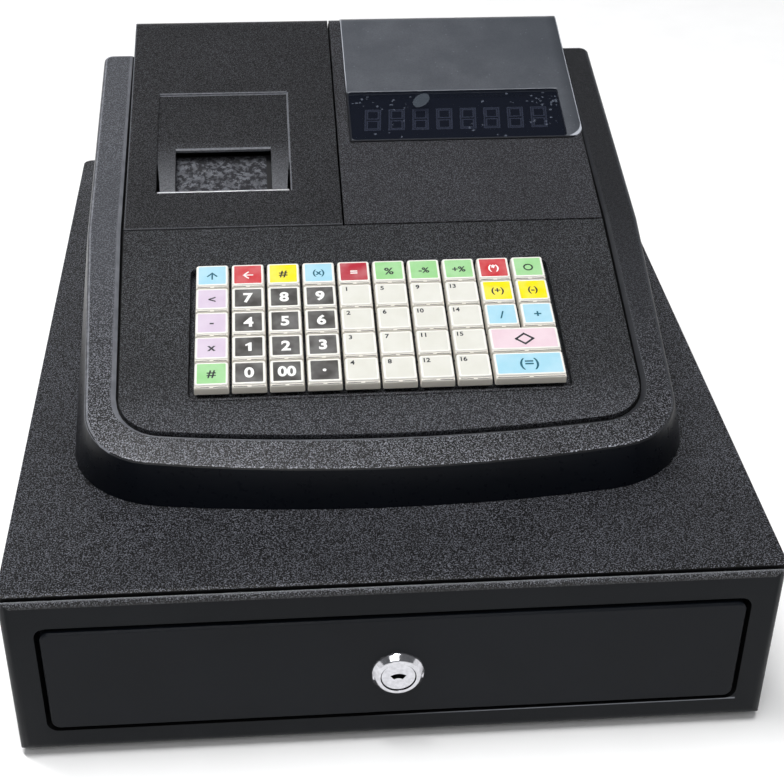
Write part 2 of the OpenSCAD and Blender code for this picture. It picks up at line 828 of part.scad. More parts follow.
module keyboard_panel() {
    v_end = seam_v - seam / 2;
    floor_t = 2;
    color(PLASTIC) on_deck() {
        difference() {
            union() {
                translate([0, 0, -cover_t]) linear_extrude(cover_t) cover_outline(-recess_gap, 0, v_end);
                // Bead round the key well
                linear_extrude(0.6) well_outline(bead_w);
                // Tub of the key well
                translate([0, 0, -well_depth - floor_t]) linear_extrude(well_depth) well_outline(1.6);
            }
            translate([0, 0, -well_depth]) linear_extrude(well_depth + 2) well_outline(0);
            // Guides of the key stems
            for (k = KEYS) translate([key_x(k[0], k[1]), key_centre_v(k[0]), -well_depth - floor_t - 1])
                translate([-stem_w / 2 - stem_gap, -stem_w / 2 - stem_gap, 0])
                    cube([stem_w + 2 * stem_gap, stem_w + 2 * stem_gap, floor_t + 2]);
        }
        contact_board();
    }
}

// Contact board under the keys, on four posts below the tub
module contact_board() {
    board_t = 1.6;
    hw = field_w / 2 + 2;
    translate([-hw, well_v0, board_w - board_t]) cube([2 * hw, well_v1 - well_v0, board_t]);
    for (x = [-hw, hw - 3]) for (v = [well_v0 + 1, well_v1 - 4])
        translate([x, v, board_w - eps]) cube([3, 3, -well_depth - board_w]);
}

// ---------------------------------------------------------------- keys

function key_x(r, c) = (c + (is_double(r, c) ? 0.5 : 0) - (key_cols - 1) / 2) * key_px;
function key_centre_v(r) = key_v + r * key_pv;

// Keycap: front view and side view of a tapered cap, with a guided stem
module key(r, c) {
    w = key_px * (is_double(r, c) ? 2 : 1) - key_gap_x;
    l = key_pv - key_gap_v;
    top_w = w - 1.6;
    top_l = l - 3.2;
    rim = 1.2;
    color(KEY_IVORY) on_deck() translate([key_x(r, c), key_centre_v(r), 0]) {
        intersection() {
            translate([0, l / 2, 0]) rotate([90, 0, 0]) linear_extrude(l) polygon([
                [-w / 2, cap_z0], [w / 2, cap_z0], [w / 2, cap_z0 + rim], [top_w / 2, key_top - 0.5],
                [top_w / 2 - 0.7, key_top], [-top_w / 2 + 0.7, key_top], [-top_w / 2, key_top - 0.5],
                [-w / 2, cap_z0 + rim]]);
            rotate([90, 0, 90]) translate([0, 0, -w / 2]) linear_extrude(w) polygon([
                [-l / 2, cap_z0], [l / 2, cap_z0], [l / 2, key_top - 0.6], [l / 2 - 0.6, key_top],
                [l / 2 - top_l, key_top], [-l / 2 + 0.4, key_top - 2.2], [-l / 2, key_top - 2.6]]);
        }
        translate([-stem_w / 2, -stem_w / 2, stem_end]) cube([stem_w, stem_w, cap_z0 + 1 - stem_end]);
    }
}

// ---------------------------------------------------------------- rear covers

// Side view of the rear block, inset by d, down to z_end
module block_side(d, z_end) {
    r = hinge_r - d;
    start = [seam_y, seam_z] - d * rear_normal;
    translate([hinge_y, hinge_z]) circle(r);
    polygon([start, [hinge_y, hinge_z] + r * rear_normal, [hinge_y, hinge_z], [hinge_y + r, hinge_z],
        [hinge_y + r, z_end], [start[0], z_end]]);
}

// Side view of the space above the ledge: w is the ledge's height over the deck
module above_ledge(w = seat_w) {
    p0 = deck_point(seam_v + seam / 2, w);
    p1 = deck_point(deck_l + 2, w);
    z_back = back_seam_z + 0.3;
    polygon([p0, p1, [p1[0], z_back], [block_y1 + 1, z_back], [block_y1 + 1, far],
        deck_point(seam_v + seam / 2, 100)]);
}

// Side view of the printer cover's plate and of the barrel round its hinge
module printer_plate_side() {
    edge = [hinge_y, hinge_z];
    start = [seam_y, seam_z];
    polygon([start, edge + hinge_r * rear_normal, edge + (hinge_r - shell_t) * rear_normal,
        start - shell_t * rear_normal]);
    translate(edge) intersection() {
        difference() {
            circle(hinge_r);
            circle(hinge_r - shell_t);
        }
        polygon([[0, 0], 40 * [cos(barrel_stop), sin(barrel_stop)], [40, 40], 40 * rear_normal]);
    }
}

// Side wall of the printer cover, with a full disc round the hinge
module printer_side() {
    translate([hinge_y, hinge_z]) circle(hinge_r);
    intersection() {
        block_side(0, 0);
        polygon([deck_point(seam_v + seam / 2, seat_w), deck_point(deck_l + 14, seat_w),
            [hinge_y, far], deck_point(seam_v + seam / 2, 100)]);
    }
}

// The curved lower part of the chute's floor, as points in the rear covers' frame
function chute_curve(below) = let (
    run = bend_u - chute_u,
    fall = chute_drop - chute_step,
    r = (run * run + fall * fall) / (2 * fall))
    arc(bend_u, -chute_step - r, r - below, 90, 90 + asin(run / r), 6);

// Tub of the chute, before it is hollowed
module chute_tub() {
    end_u = chute_u + chute_l;
    on_rear() from_side(chute_x - chute_w / 2 - 1.6, chute_x + chute_w / 2 + 1.6) polygon(concat(
        [[end_u + 1, -0.5], [end_u + 1, -chute_step - chute_t]], chute_curve(chute_t),
        [[chute_u - 1.6, -chute_drop - chute_t], [chute_u - 1.6, -0.5]]));
}

// Room over the floor of the chute, its paper notch and the slits beside the floor's legs
module chute_room() {
    end_u = chute_u + chute_l;
    on_rear() translate([chute_x, 0, 0]) {
        from_side(-chute_w / 2, chute_w / 2) polygon(concat(
            [[end_u, 5], [end_u, -chute_step]], chute_curve(0), [[chute_u, 5]]));
        translate([-notch_w / 2, chute_u, -20]) cube([notch_w, notch_l, 21]);
        for (s = [-1, 1]) translate([s * chute_w / 2, chute_u, -20]) linear_extrude(21)
            polygon([[0, 0], [-s * slit_w, 0], [-s * 0.4, slit_l], [0, slit_l]]);
        // Chamfer above the notch
        translate([-notch_w / 2, chute_u + notch_l - 0.5, -chute_step - 0.8]) rotate([28, 0, 0])
            cube([notch_w, 3, 3]);
    }
}

// Serrated tear bar at the lower edge of the chute
module tear_bar() {
    w = chute_w - 2;
    teeth = floor(w / tooth_pitch);
    points = [for (i = [0:teeth - 1]) for (p = [[0, 0], [0.5, 1]])
        [-w / 2 + (i + p[0]) * tooth_pitch, p[1] * tooth_pitch * 0.6]];
    on_rear() translate([chute_x, chute_u, -1]) linear_extrude(0.8)
        polygon(concat(points, [[w / 2, 0], [w / 2, -1.2], [-w / 2, -1.2]]));
}

module printer_cover() {
    x0 = printer_x0;
    x1 = printer_x1;
    pin_end = side_t + ear_play + ear_wall + 1;
    color(PLASTIC) {
        difference() {
            union() {
                intersection() {
                    from_side(x0, x1) printer_plate_side();
                    from_side(x0, x1) polygon([deck_point(seam_v + seam / 2, -20), [block_y1 + 1, 0],
                        [block_y1 + 1, far], deck_point(seam_v + seam / 2, 100)]);
                }
                chute_tub();
                for (x = [x0, x1 - side_t]) from_side(x, x + side_t) printer_side();
            }
            chute_room();
        }
        // Hinge pins
        x_rod(x0, x0 + pin_end, hinge_y, hinge_z, pin_r);
        x_rod(x1 - pin_end, x1, hinge_y, hinge_z, pin_r);
    }
    color(CHROME) tear_bar();
}

// Seat of the lens: everything outside the inset d of the block
module lens_seat(d) {
    x0 = lens_x0 - lens_gap;
    difference() {
        intersection() {
            from_side(x0, cover_hw + 2) difference() {
                block_side(-3, 0);
                block_side(d, -100);
            }
            translate([x0 - 1, lens_y0 - lens_gap, 0]) cube([cover_hw + 4 - x0, far, far]);
        }
        lens_corner(lens_gap);
    }
}

// What the round front corner of the lens leaves out
module lens_corner(gap) {
    on_rear() translate([display_x1 + lens_proud - lens_r, lens_u + lens_r, -12]) linear_extrude(24)
        difference() {
            translate([0, -lens_r - 4]) square([lens_r + 4, lens_r + 4]);
            circle(lens_r + gap);
        }
}

module display_cover() {
    x0 = display_x0;
    x1 = display_x1;
    board_z = -lens_t - shell_t - module_h;
    color(PLASTIC) {
        difference() {
            intersection() {
                from_side(x0, x1) block_side(0, 0);
                from_side(x0, x1) above_ledge();
            }
            // Hollow, with a thicker roof under the lens
            from_side(x0 + side_t, x1 - side_t) intersection() {
                block_side(shell_t + lens_t, 0);
                translate([lens_y0 - 6, 0]) square(far);
            }
            from_side(x0 + side_t, x1 - side_t) intersection() {
                block_side(shell_t, 0);
                translate([seam_y - 20, 0]) square([lens_y0 - seam_y + 14 + eps, far]);
            }
            lens_seat(lens_t - lens_proud + lens_bed);
            // Window in front of the display
            on_rear() translate([window_x - window_w / 2, lens_u + 1, -20]) cube([window_w, window_l, 21]);
        }
        // Lugs that carry the display board
        for (s = [-1, 1]) on_rear() translate([window_x + s * (window_w / 2 + 1) - 1, lens_u + 3, board_z])
            cube([2, window_l - 4, module_h + 0.5]);
    }
    color("black") on_rear() translate([window_x - window_w / 2 - 0.5, lens_u + 1.3, board_z + 2])
        cube([window_w + 1, window_l - 0.6, module_h - 2]);
}

// The lens is one bent sheet: flat, round the rear edge and down the back
module display_lens() {
    start = [seam_y, seam_z] + lens_u * rear_dir;
    r0 = hinge_r + lens_proud;
    r1 = r0 - lens_t;
    z0 = back_seam_z + 0.5;
    a0 = 90 + rear_tilt;
    color([0.5, 0.55, 0.6, 0.5]) difference() {
        from_side(lens_x0, display_x1 + lens_proud) polygon(concat(
            [start + (r0 - hinge_r) * rear_normal], arc(hinge_y, hinge_z, r0, a0, 0, 14),
            [[hinge_y + r0, z0]], [[hinge_y + r1, z0]], arc(hinge_y, hinge_z, r1, 0, a0, 14),
            [start + (r1 - hinge_r) * rear_normal]));
        lens_corner(0);
    }
}

// ---------------------------------------------------------------- print unit

// Guide plate under the paper notch, with the slot of the paper
module paper_guide() {
    on_rear() difference() {
        translate([-frame_hw, guide_u, -guide_drop - 1.5]) cube([2 * frame_hw, guide_l, 1.5]);
        translate([-notch_w / 2, chute_u + 2, -guide_drop - 3]) cube([notch_w, 5, 4]);
    }
}

module print_unit() {
    base_z = case_top + wall;
    guide_foot = [seam_y, seam_z] - (guide_drop + 0.8) * rear_normal;
    guide = guide_foot + (guide_u + guide_l - 1) * rear_dir;
    guide_front = guide_foot + guide_u * rear_dir;
    head_t = 4;
    head_h = 14;
    head_gap = 0.3;
    translate([chute_x, 0, 0]) color(PLASTIC) {
        // Side frames with the bearings of the platen
        for (s = [-1, 1]) translate([s > 0 ? paper_w / 2 : -frame_hw, 0, 0]) difference() {
            from_side(0, frame_t) polygon([
                [guide_front[0], base_z], [roll[0] + 20, base_z], [roll[0] + 35, roll[1] - 4],
                [roll[0] + 35, roll[1] + 4], [guide[0] + 10, roll[1] + 4], guide, guide_front]);
            x_rod(-1, frame_t + 1, platen[0], platen[1], shaft_r + platen_fit);
        }
        // Paper well
        from_side(-paper_w / 2 - 1, paper_w / 2 + 1) intersection() {
            difference() {
                translate(roll) circle(paper_r + 2.5);
                translate(roll) circle(paper_r);
            }
            translate([roll[0] - 60, base_z]) square([120, roll[1] - base_z]);
        }
        paper_guide();
        // Foot plate
        translate([-frame_hw, guide_front[0], base_z]) cube([2 * frame_hw, 40, 3]);
        // Print head against the platen
        translate([-frame_hw + 1, platen[0] - platen_r - head_gap - head_t, platen[1] - head_h + 4])
            cube([2 * frame_hw - 2, head_t, head_h]);
    }
}

// Rubber platen on its shaft, with a drive gear
module platen_roller() {
    hl = paper_w / 2 - 1;
    x_gear = -frame_hw - 4;
    teeth = 20;
    color("dimgray") translate([chute_x, 0, 0]) {
        x_rod(x_gear, frame_hw + 3, platen[0], platen[1], shaft_r);
        x_rod(-hl, hl, platen[0], platen[1], platen_r);
        translate([0, platen[0], platen[1]]) from_side(x_gear, x_gear + 3.5) polygon([
            for (i = [0:teeth - 1]) for (t = [[0, gear_r - 1], [0.25, gear_r], [0.5, gear_r], [0.75, gear_r - 1]])
                t[1] * [cos((i + t[0]) * 360 / teeth), sin((i + t[0]) * 360 / teeth)]]);
    }
}

// ---------------------------------------------------------------- assembly

drawer_case();
cash_drawer();
cash_tray();
bill_clips();
lock_cylinder();
base_case();
keyboard_panel();
display_cover();
printer_cover();
display_lens();
print_unit();
platen_roller();
for (k = KEYS) {
    key(k[0], k[1]);
}
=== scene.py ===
import bpy
import math
import numpy as np
from mathutils import Matrix, Vector


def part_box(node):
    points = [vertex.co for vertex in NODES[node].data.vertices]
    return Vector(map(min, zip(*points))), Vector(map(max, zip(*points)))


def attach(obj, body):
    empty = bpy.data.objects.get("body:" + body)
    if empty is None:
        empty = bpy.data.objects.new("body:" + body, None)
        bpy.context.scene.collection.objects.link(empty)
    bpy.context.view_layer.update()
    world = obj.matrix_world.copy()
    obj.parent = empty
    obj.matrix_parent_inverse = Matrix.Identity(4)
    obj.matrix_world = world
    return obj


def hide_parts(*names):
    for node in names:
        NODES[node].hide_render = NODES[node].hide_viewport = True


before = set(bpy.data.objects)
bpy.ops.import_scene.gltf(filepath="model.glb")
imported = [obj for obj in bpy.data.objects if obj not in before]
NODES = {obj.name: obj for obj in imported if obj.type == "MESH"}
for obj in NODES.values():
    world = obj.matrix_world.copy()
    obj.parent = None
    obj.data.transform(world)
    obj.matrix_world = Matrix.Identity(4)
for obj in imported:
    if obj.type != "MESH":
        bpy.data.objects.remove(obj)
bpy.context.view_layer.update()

MM = 0.001


def node_box(node):
    """Lowest and highest corner of a node, in mm."""
    return [Vector(p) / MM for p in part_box(node)]


# ---------------------------------------- sizes and places, mm
# The case, its front edge with the seam, and the mouth with the lip round it
CASE_LO, CASE_HI = node_box("drawer_case")
FRONT_Y, CASE_TOP = CASE_LO.y, CASE_HI.z
FOOT_H, CASE_EDGE_R = 4.0, 5.0
SEAM_IN, SEAM_GAP = 1.2, 1.3
MOUTH_HW, MOUTH_Z0, MOUTH_Z1 = 151.5, 16.3, 74.9
LIP_D, LIP_T = 12.0, 1.2
# The drawer's front: its face, its end, and its thickness with that of the pan's wall. The lock.
FACE_Y, FRONT_END, FRONT_T = FRONT_Y - 1.0, FRONT_Y + 2.91, 4.5
PLUG_R, BARREL_R, BEZEL_R = 7.7, 9.5, 11.5
LOCK_Z = node_box("lock_cylinder")[0].z + PLUG_R
# How far the centre of a mesh face may lie off the place where its surface ends
TOL = 0.1

# The sloping deck of the register: x across, v up the slope, w square to it. The covers lie in its
# recess. Faces as near them as NEAR belong to the recess, and the block at the rear starts at BACK_Y.
DECK_Y, DECK_Z, DECK_T = FRONT_Y + 54, CASE_TOP + 19.5, math.radians(12.25)
COVER_HW, COVER_R, COVER_V = 123.0, 22.0, 20.6
COVER_TAPER, COVER_CURVE_R = 3.2, 860.0
BEVEL_W, BEVEL_D = 2.4, 2.04
BRIM_MID, NEAR = 0.6, 5.0
SEAM_V, BACK_Y = 166.6, 160.0

# The rear covers: x across, u up their slope
SEAM_Y = DECK_Y + SEAM_V * math.cos(DECK_T)
SEAM_Z = DECK_Z + SEAM_V * math.sin(DECK_T)
REAR_T = math.radians(15.5)

# The keys: number, pitch, place of the front row, size, and where a cap starts and ends
KEY_COLS, KEY_ROWS = 10, 5
KEY_PX, KEY_PV, KEY_V = 17.2, 16.85, 56.4
KEY_W, KEY_L = 16.0, 16.25
CAP_Z0, CAP_TOP = 0.4, 5.46

# The lens, the display and the chute
LENS_X0, LENS_X1 = node_box("display_lens")[0].x, node_box("display_lens")[1].x
LENS_U, LENS_PROUD, LENS_R = 65.0, 0.6, 8.0
WINDOW_X0, WINDOW_X1 = LENS_X0 + 1.0, LENS_X0 + 118.5
WINDOW_U0, WINDOW_U1 = 66.0, 107.0
BOARD_W = -4.5
CHUTE_X, CHUTE_U, CHUTE_W, CHUTE_L = -72.3, 27.5, 70.0, 81.5
NOTCH_W, NOTCH_L = 50.6, 35.0
GUIDE_W = -9.0
# The gap between the covers, the printer cover's hinge, and the lip in the gap: where it starts, how
# far its top lies down, and how deep its front and its rear end reach
SPLIT_X, HINGE_U, HINGE_R = -11.2, 172.08, 10.0
LIP_U, LIP_DOWN, LIP_FRONT_W, LIP_REAR_W = 140.0, 1.6, -8.0, -16.0


def sloped(y, z, tilt):
    """Matrix of a sloping plane whose origin is at x 0, y, z."""
    return Matrix.Translation((0, y * MM, z * MM)) @ Matrix.Rotation(tilt, 4, "X")


DECK = sloped(DECK_Y, DECK_Z, DECK_T)
REAR = sloped(SEAM_Y, SEAM_Z, REAR_T)
TO_DECK = DECK.inverted()
TO_REAR = REAR.inverted()


def local(to_plane, centre):
    """A point of the frame, in mm, seen from a sloping plane, in mm."""
    return to_plane @ (centre * MM) / MM


# ---------------------------------------- colours
def srgb(r, g, b):
    """Linear colour of an 8-bit sRGB colour."""
    out = []
    for c in (r, g, b):
        c /= 255.0
        out.append(c / 12.92 if c <= 0.04045 else ((c + 0.055) / 1.055) ** 2.4)
    return (*out, 1.0)


def scaled(color, factor):
    """The colour, lighter or darker by a factor."""
    return tuple(min(1.0, c * factor) for c in color[:3]) + (1.0,)


# ---------------------------------------- materials
# The outlines of the covers and of the lens run on to here, mm
FAR = 600.0
# Size of the sandy grain of the moulded plastic, and of that of the case and the rim, mm
GRAIN, COARSE = 0.60, 0.64
# Slope of the rim away from the covers, and its colours in the hollows and on the crests
RIM_FALL = math.radians(6)
RIM_HOLLOW, RIM_CREST = srgb(4, 4, 6), srgb(152, 154, 163)


class Nodes:
    """Short calls to build a material's node tree."""

    def __init__(self, name):
        self.mat = bpy.data.materials.new(name)
        self.mat.use_nodes = True
        self.tree = self.mat.node_tree
        self.tree.nodes.clear()
        self.out = self.add("ShaderNodeOutputMaterial")
        self.pos = self.add("ShaderNodeTexCoord").outputs["Object"]

    def add(self, kind, **props):
        node = self.tree.nodes.new(kind)
        for key, value in props.items():
            setattr(node, key, value)
        return node

    def feed(self, socket, value):
        """Sets a socket to a value, or links it to an output."""
        if isinstance(value, bpy.types.NodeSocket):
            self.tree.links.new(value, socket)
        else:
            socket.default_value = value

    def mapped(self, vector, location=(0, 0, 0), rotation=(0, 0, 0), scale=(1, 1, 1)):
        node = self.add("ShaderNodeMapping")
        self.feed(node.inputs["Vector"], vector)
        node.inputs["Location"].default_value = location
        node.inputs["Rotation"].default_value = rotation
        node.inputs["Scale"].default_value = scale
        return node.outputs["Vector"]

    def plane(self, y, z, tilt):
        """Object coordinates turned into those of a sloping plane."""
        place = Matrix.Rotation(-tilt, 3, "X") @ Vector((0, -y * MM, -z * MM))
        return self.mapped(self.pos, place, (-tilt, 0, 0))

    def axes(self, vector):
        node = self.add("ShaderNodeSeparateXYZ")
        self.feed(node.inputs[0], vector)
        return node.outputs

    def noise(self, size, detail=2.0, rough=0.5, vector=None):
        """Fractal noise whose largest features are about size mm."""
        node = self.add("ShaderNodeTexNoise")
        node.inputs["Scale"].default_value = 1 / (size * MM)
        node.inputs["Detail"].default_value = detail
        node.inputs["Roughness"].default_value = rough
        self.feed(node.inputs["Vector"], vector or self.pos)
        return node.outputs["Fac"]

    def cells(self, size):
        """Distance to the nearest of many points about size mm apart."""
        node = self.add("ShaderNodeTexVoronoi")
        node.inputs["Scale"].default_value = 1 / (size * MM)
        self.feed(node.inputs["Vector"], self.pos)
        return node.outputs["Distance"]

    def remap(self, value, a, b, c, d, smooth=False):
        node = self.add("ShaderNodeMapRange")
        node.interpolation_type = "SMOOTHSTEP" if smooth else "LINEAR"
        for name, v in zip(("Value", "From Min", "From Max", "To Min", "To Max"), (value, a, b, c, d)):
            self.feed(node.inputs[name], v)
        return node.outputs["Result"]

    def ramp(self, value, a, b, c, d, smooth=False):
        """Runs from c to d while a value in metres runs from a to b mm."""
        return self.remap(value, a * MM, b * MM, c, d, smooth)

    def math(self, op, a, b=None):
        node = self.add("ShaderNodeMath", operation=op)
        self.feed(node.inputs[0], a)
        if b is not None:
            self.feed(node.inputs[1], b)
        return node.outputs[0]

    def less(self, a, b):
        return self.math("SUBTRACT", a, b)

    def times(self, product, *factors):
        for factor in factors:
            product = self.math("MULTIPLY", product, factor)
        return product

    def highest(self, top, *others):
        for other in others:
            top = self.math("MAXIMUM", top, other)
        return top

    def length(self, x, y):
        return self.math("SQRT", self.math("ADD", self.times(x, x), self.times(y, y)))

    def mix(self, fac, a, b):
        node = self.add("ShaderNodeMix", data_type="RGBA")
        self.feed(node.inputs[0], fac)
        self.feed(node.inputs[6], a)
        self.feed(node.inputs[7], b)
        return node.outputs[2]

    def cloudy(self, size, a, b, detail=2.0):
        """Colour that drifts between two over about size mm."""
        return self.mix(self.remap(self.noise(size, detail), 0.3, 0.7, 0.0, 1.0), a, b)

    def bump(self, height, distance, strength=1.0, normal=None):
        """Normal of a surface raised by height times distance, in mm."""
        node = self.add("ShaderNodeBump")
        node.inputs["Distance"].default_value = distance * MM
        node.inputs["Strength"].default_value = strength
        self.feed(node.inputs["Height"], height)
        if normal is not None:
            self.feed(node.inputs["Normal"], normal)
        return node.outputs["Normal"]

    def round_edges(self, radius):
        node = self.add("ShaderNodeBevel", samples=4)
        node.inputs["Radius"].default_value = radius * MM
        return node.outputs["Normal"]

    def corner_distance(self, x, y, x0, x1, y0, y1, radius):
        """Distance outwards, in metres, from the corner centres of a rounded rectangle in mm. On
        the outline it equals the radius."""
        def beyond(value, low, high):
            off_middle = self.math("ABSOLUTE", self.less(value, (low + high) / 2 * MM))
            return self.highest(self.less(off_middle, ((high - low) / 2 - radius) * MM), 0.0)

        return self.length(beyond(x, x0, x1), beyond(y, y0, y1))

    def band(self, value, a, b, soft=0.3):
        """1 where a value in metres lies between a and b mm, 0 outside."""
        rise = self.ramp(value, a - soft, a + soft, 0.0, 1.0, True)
        return self.times(rise, self.ramp(value, b - soft, b + soft, 1.0, 0.0, True))

    def grain(self, size, hollow, crest):
        """Sandy grain from 0 to 1, and its colour between its hollows and crests."""
        speckle = self.less(self.noise(size, 3.0, 0.7), self.times(self.cells(size), 0.25))
        grain = self.remap(speckle, 0.39, 0.465, 0.0, 1.0)
        return grain, self.mix(grain, hollow, self.cloudy(50.0, scaled(crest, 0.86), scaled(crest, 1.14)))

    def from_covers(self):
        """Places across the deck and up it, and the distance outwards from the covers, in metres."""
        x, v = self.axes(self.plane(DECK_Y, DECK_Z, DECK_T))[:2]
        taper = self.ramp(v, COVER_V + COVER_R, SEAM_V, COVER_TAPER * MM, 0.0)
        across = self.math("ADD", self.math("ABSOLUTE", x), taper)
        up = self.less(v, self.times(x, x, 0.5 / (COVER_CURVE_R * MM)))
        out = self.corner_distance(across, up, -COVER_HW, COVER_HW, COVER_V, FAR, COVER_R)
        return x, v, self.highest(self.less(out, COVER_R * MM), 0.0)

    def shader(self, color, rough, normal, level=0.5, **constants):
        node = self.add("ShaderNodeBsdfPrincipled")
        for name, value in (("Base Color", color), ("Roughness", rough), ("Normal", normal),
                            ("Specular IOR Level", level)):
            self.feed(node.inputs[name], value)
        for key, value in constants.items():
            node.inputs[key.replace("_", " ")].default_value = value
        return node

    def done(self, shader):
        self.feed(self.out.inputs["Surface"], shader.outputs[0])
        return self.mat

    def sandy(self, tone, grain, depth, size, rough, level, under):
        """The material with its grain raised by depth mm above the normal under it. Its roughness
        drifts over about size mm."""
        roughness = self.remap(self.noise(size), 0.35, 0.65, rough - 0.06, rough + 0.06)
        normal = self.bump(grain, depth, 1.0, under)
        return self.done(self.shader(tone, roughness, normal, level))

    def smooth(self, tone, rough, level, peel=0.006, edge=0.4):
        """The material with a faint orange peel, in mm. rough is the range of its roughness."""
        roughness = self.remap(self.noise(3.0, 3.0), 0.3, 0.7, *rough)
        normal = self.bump(self.noise(1.4, 3.0), peel, 0.6, self.round_edges(edge))
        return self.done(self.shader(tone, roughness, normal, level))


def grained(name, hollow, crest, size, depth, rough, level):
    """Black paint or moulded plastic with a fine sandy grain."""
    n = Nodes(name)
    grain, tone = n.grain(size, hollow, crest)
    return n.sandy(tone, grain, depth, size * 2.3, rough, level, n.round_edges(0.6))


def rim_plastic():
    """Coarse grain on the rim of the deck, fading to a plain grey up the deck. It falls away from the
    covers, has a smooth painted highlight beside them, and painted shade makes it darker at its rear
    and on its right."""
    n = Nodes("rim_grain")
    x, v, fall = n.from_covers()
    grain, tone = n.grain(COARSE, RIM_HOLLOW, RIM_CREST)
    tone = n.mix(n.ramp(v, 20, 170, 0.0, 0.65, True), tone, srgb(76, 78, 84))
    # Painted shade: the rim darker towards its right and its rear
    painted_shade = n.times(n.ramp(x, -20, 120, 0.0, 1.0, True), n.ramp(v, 0, 200, 0.35, 0.88, True))
    tone = n.mix(painted_shade, tone, srgb(16, 17, 20))
    # Painted highlight beside the covers, fading where the painted shade lies
    painted_highlight = n.ramp(fall, BEVEL_W + 0.5, BEVEL_W + 1.4, 0.45, 0.0, True)
    tone = n.mix(n.times(painted_highlight, n.less(1.0, painted_shade)), tone, srgb(104, 106, 112))
    slope = n.bump(n.times(fall, -math.tan(RIM_FALL)), 1 / MM, 1.0, n.round_edges(0.6))
    return n.sandy(tone, grain, 0.16, 2.0, 0.42, 0.3, slope)


def keyboard_plastic():
    """Grained keyboard panel with a painted highlight that makes it paler towards its front."""
    n = Nodes("keyboard_grain")
    v = n.from_covers()[1]
    grain, tone = n.grain(GRAIN, srgb(12, 12, 14), srgb(90, 92, 97))
    # Painted highlight: a paler copy of the grain, mixed in towards the front of the panel
    painted_highlight = n.mix(grain, srgb(30, 30, 34), srgb(122, 124, 131))
    tone = n.mix(n.ramp(v, 26, 62, 0.75, 0.0, True), tone, painted_highlight)
    return n.sandy(tone, grain, 0.09, 1.8, 0.46, 0.25, n.round_edges(0.6))


def bevel_plastic():
    """Bevel round the covers: a painted highlight, darker towards the right as painted shade, and
    black painted shade down in the gap, widening towards the rear.
    """
    n = Nodes("rim_bevel")
    x, v, fall = n.from_covers()
    # Painted highlight on the bevel, with painted shade making it darker towards the right
    painted_highlight_tone = n.cloudy(9.0, srgb(104, 106, 112), srgb(128, 130, 136))
    painted_highlight_tone = n.mix(n.ramp(x, -50, 80, 0.0, 0.9, True), painted_highlight_tone, srgb(24, 25, 28))
    # Painted shade: black where the bevel goes down into the gap, wider towards the rear
    gap = n.ramp(v, 30, 260, 0.6 * MM, 1.5 * MM)
    tone = n.mix(n.remap(fall, gap, n.math("ADD", gap, 0.25 * MM), 0.0, 1.0), srgb(4, 4, 5), painted_highlight_tone)
    return n.smooth(tone, (0.34, 0.44), 0.3, edge=0.3)


def brim_plastic():
    """Rounded outer edge of the rim: grained and dark below at the front, and further up the deck a
    painted shade line between two painted highlight lines, the highlights painted darker on the right."""
    n = Nodes("brim_edge")
    x, v, w = n.axes(n.plane(DECK_Y, DECK_Z, DECK_T))
    # Painted highlight lines, with painted shade making them darker towards the right
    painted_highlight_tone = n.mix(n.remap(n.noise(2.0), 0.35, 0.65, 0.0, 1.0), srgb(96, 98, 104), srgb(128, 130, 136))
    painted_highlight_tone = n.mix(n.ramp(x, -50, 100, 0.0, 0.85, True), painted_highlight_tone, srgb(36, 38, 42))
    front = n.grain(COARSE, RIM_HOLLOW, RIM_CREST)[1]
    front = n.mix(n.ramp(w, -0.3, -0.2, 0.0, 1.0), srgb(12, 13, 16), front)
    # Painted shade line between the two painted highlight lines
    sides = n.mix(n.band(w, -0.52, -0.2, 0.06), painted_highlight_tone, srgb(12, 12, 14))
    tone = n.mix(n.ramp(v, 5, 40, 0.0, 1.0, True), front, sides)
    return n.smooth(tone, (0.34, 0.44), 0.3, edge=0.3)


def strip_paint():
    """Wrinkle paint of the case's rounded front edge, with a painted highlight along its top and darker
    towards its bottom.
    """
    n = Nodes("case_strip")
    grain, tone = n.grain(GRAIN, srgb(14, 14, 16), srgb(118, 120, 127))
    z = n.axes(n.pos)[2]
    # Painted highlight along the top of the rounded edge
    painted_highlight = n.ramp(z, CASE_TOP - 2.8, CASE_TOP - 0.8, 0.0, 0.9, True)
    low = n.ramp(z, CASE_TOP - 4.8, CASE_TOP - 2.8, 0.75, 0.0, True)
    tone = n.mix(low, n.mix(painted_highlight, tone, srgb(168, 171, 178)), srgb(16, 17, 19))
    return n.sandy(tone, grain, 0.14, 1.6, 0.42, 0.35, n.round_edges(0.4))


def front_paint():
    """Smooth paint of the front frame, with a painted highlight line along the lower edge of its mouth."""
    n = Nodes("case_front")
    x, _, z = n.axes(n.pos)
    # Painted highlight along the lower edge of the mouth, fading out to the left
    line = n.times(n.band(z, MOUTH_Z0 - 0.6, MOUTH_Z0 + 0.3, 0.1), n.band(x, -MOUTH_HW, MOUTH_HW),
                   n.ramp(x, -20, 50, 0.0, 0.8, True))
    tone = n.mix(line, n.cloudy(38.0, srgb(13, 16, 20), srgb(16, 19, 23)), srgb(128, 131, 138))
    return n.smooth(tone, (0.38, 0.47), 0.12)


def plug_metal():
    """Plated face of the lock plug, with painted shade in the gap round it."""
    n = Nodes("lock_plug")
    x, _, z = n.axes(n.pos)
    r = n.length(x, n.less(z, LOCK_Z * MM))
    marks = n.noise(2.0, 4.0, 0.6)
    tone = n.mix(n.remap(marks, 0.35, 0.65, 0.0, 1.0), srgb(192, 192, 197), srgb(214, 214, 219))
    # Painted shade of the gap round the plug
    tone = n.mix(n.band(r, PLUG_R - 0.45, PLUG_R + 1, 0.08), tone, srgb(16, 16, 18))
    roughness = n.remap(marks, 0.3, 0.7, 0.1, 0.18)
    return n.done(n.shader(tone, roughness, n.bump(marks, 0.003, 0.5), Metallic=1.0))


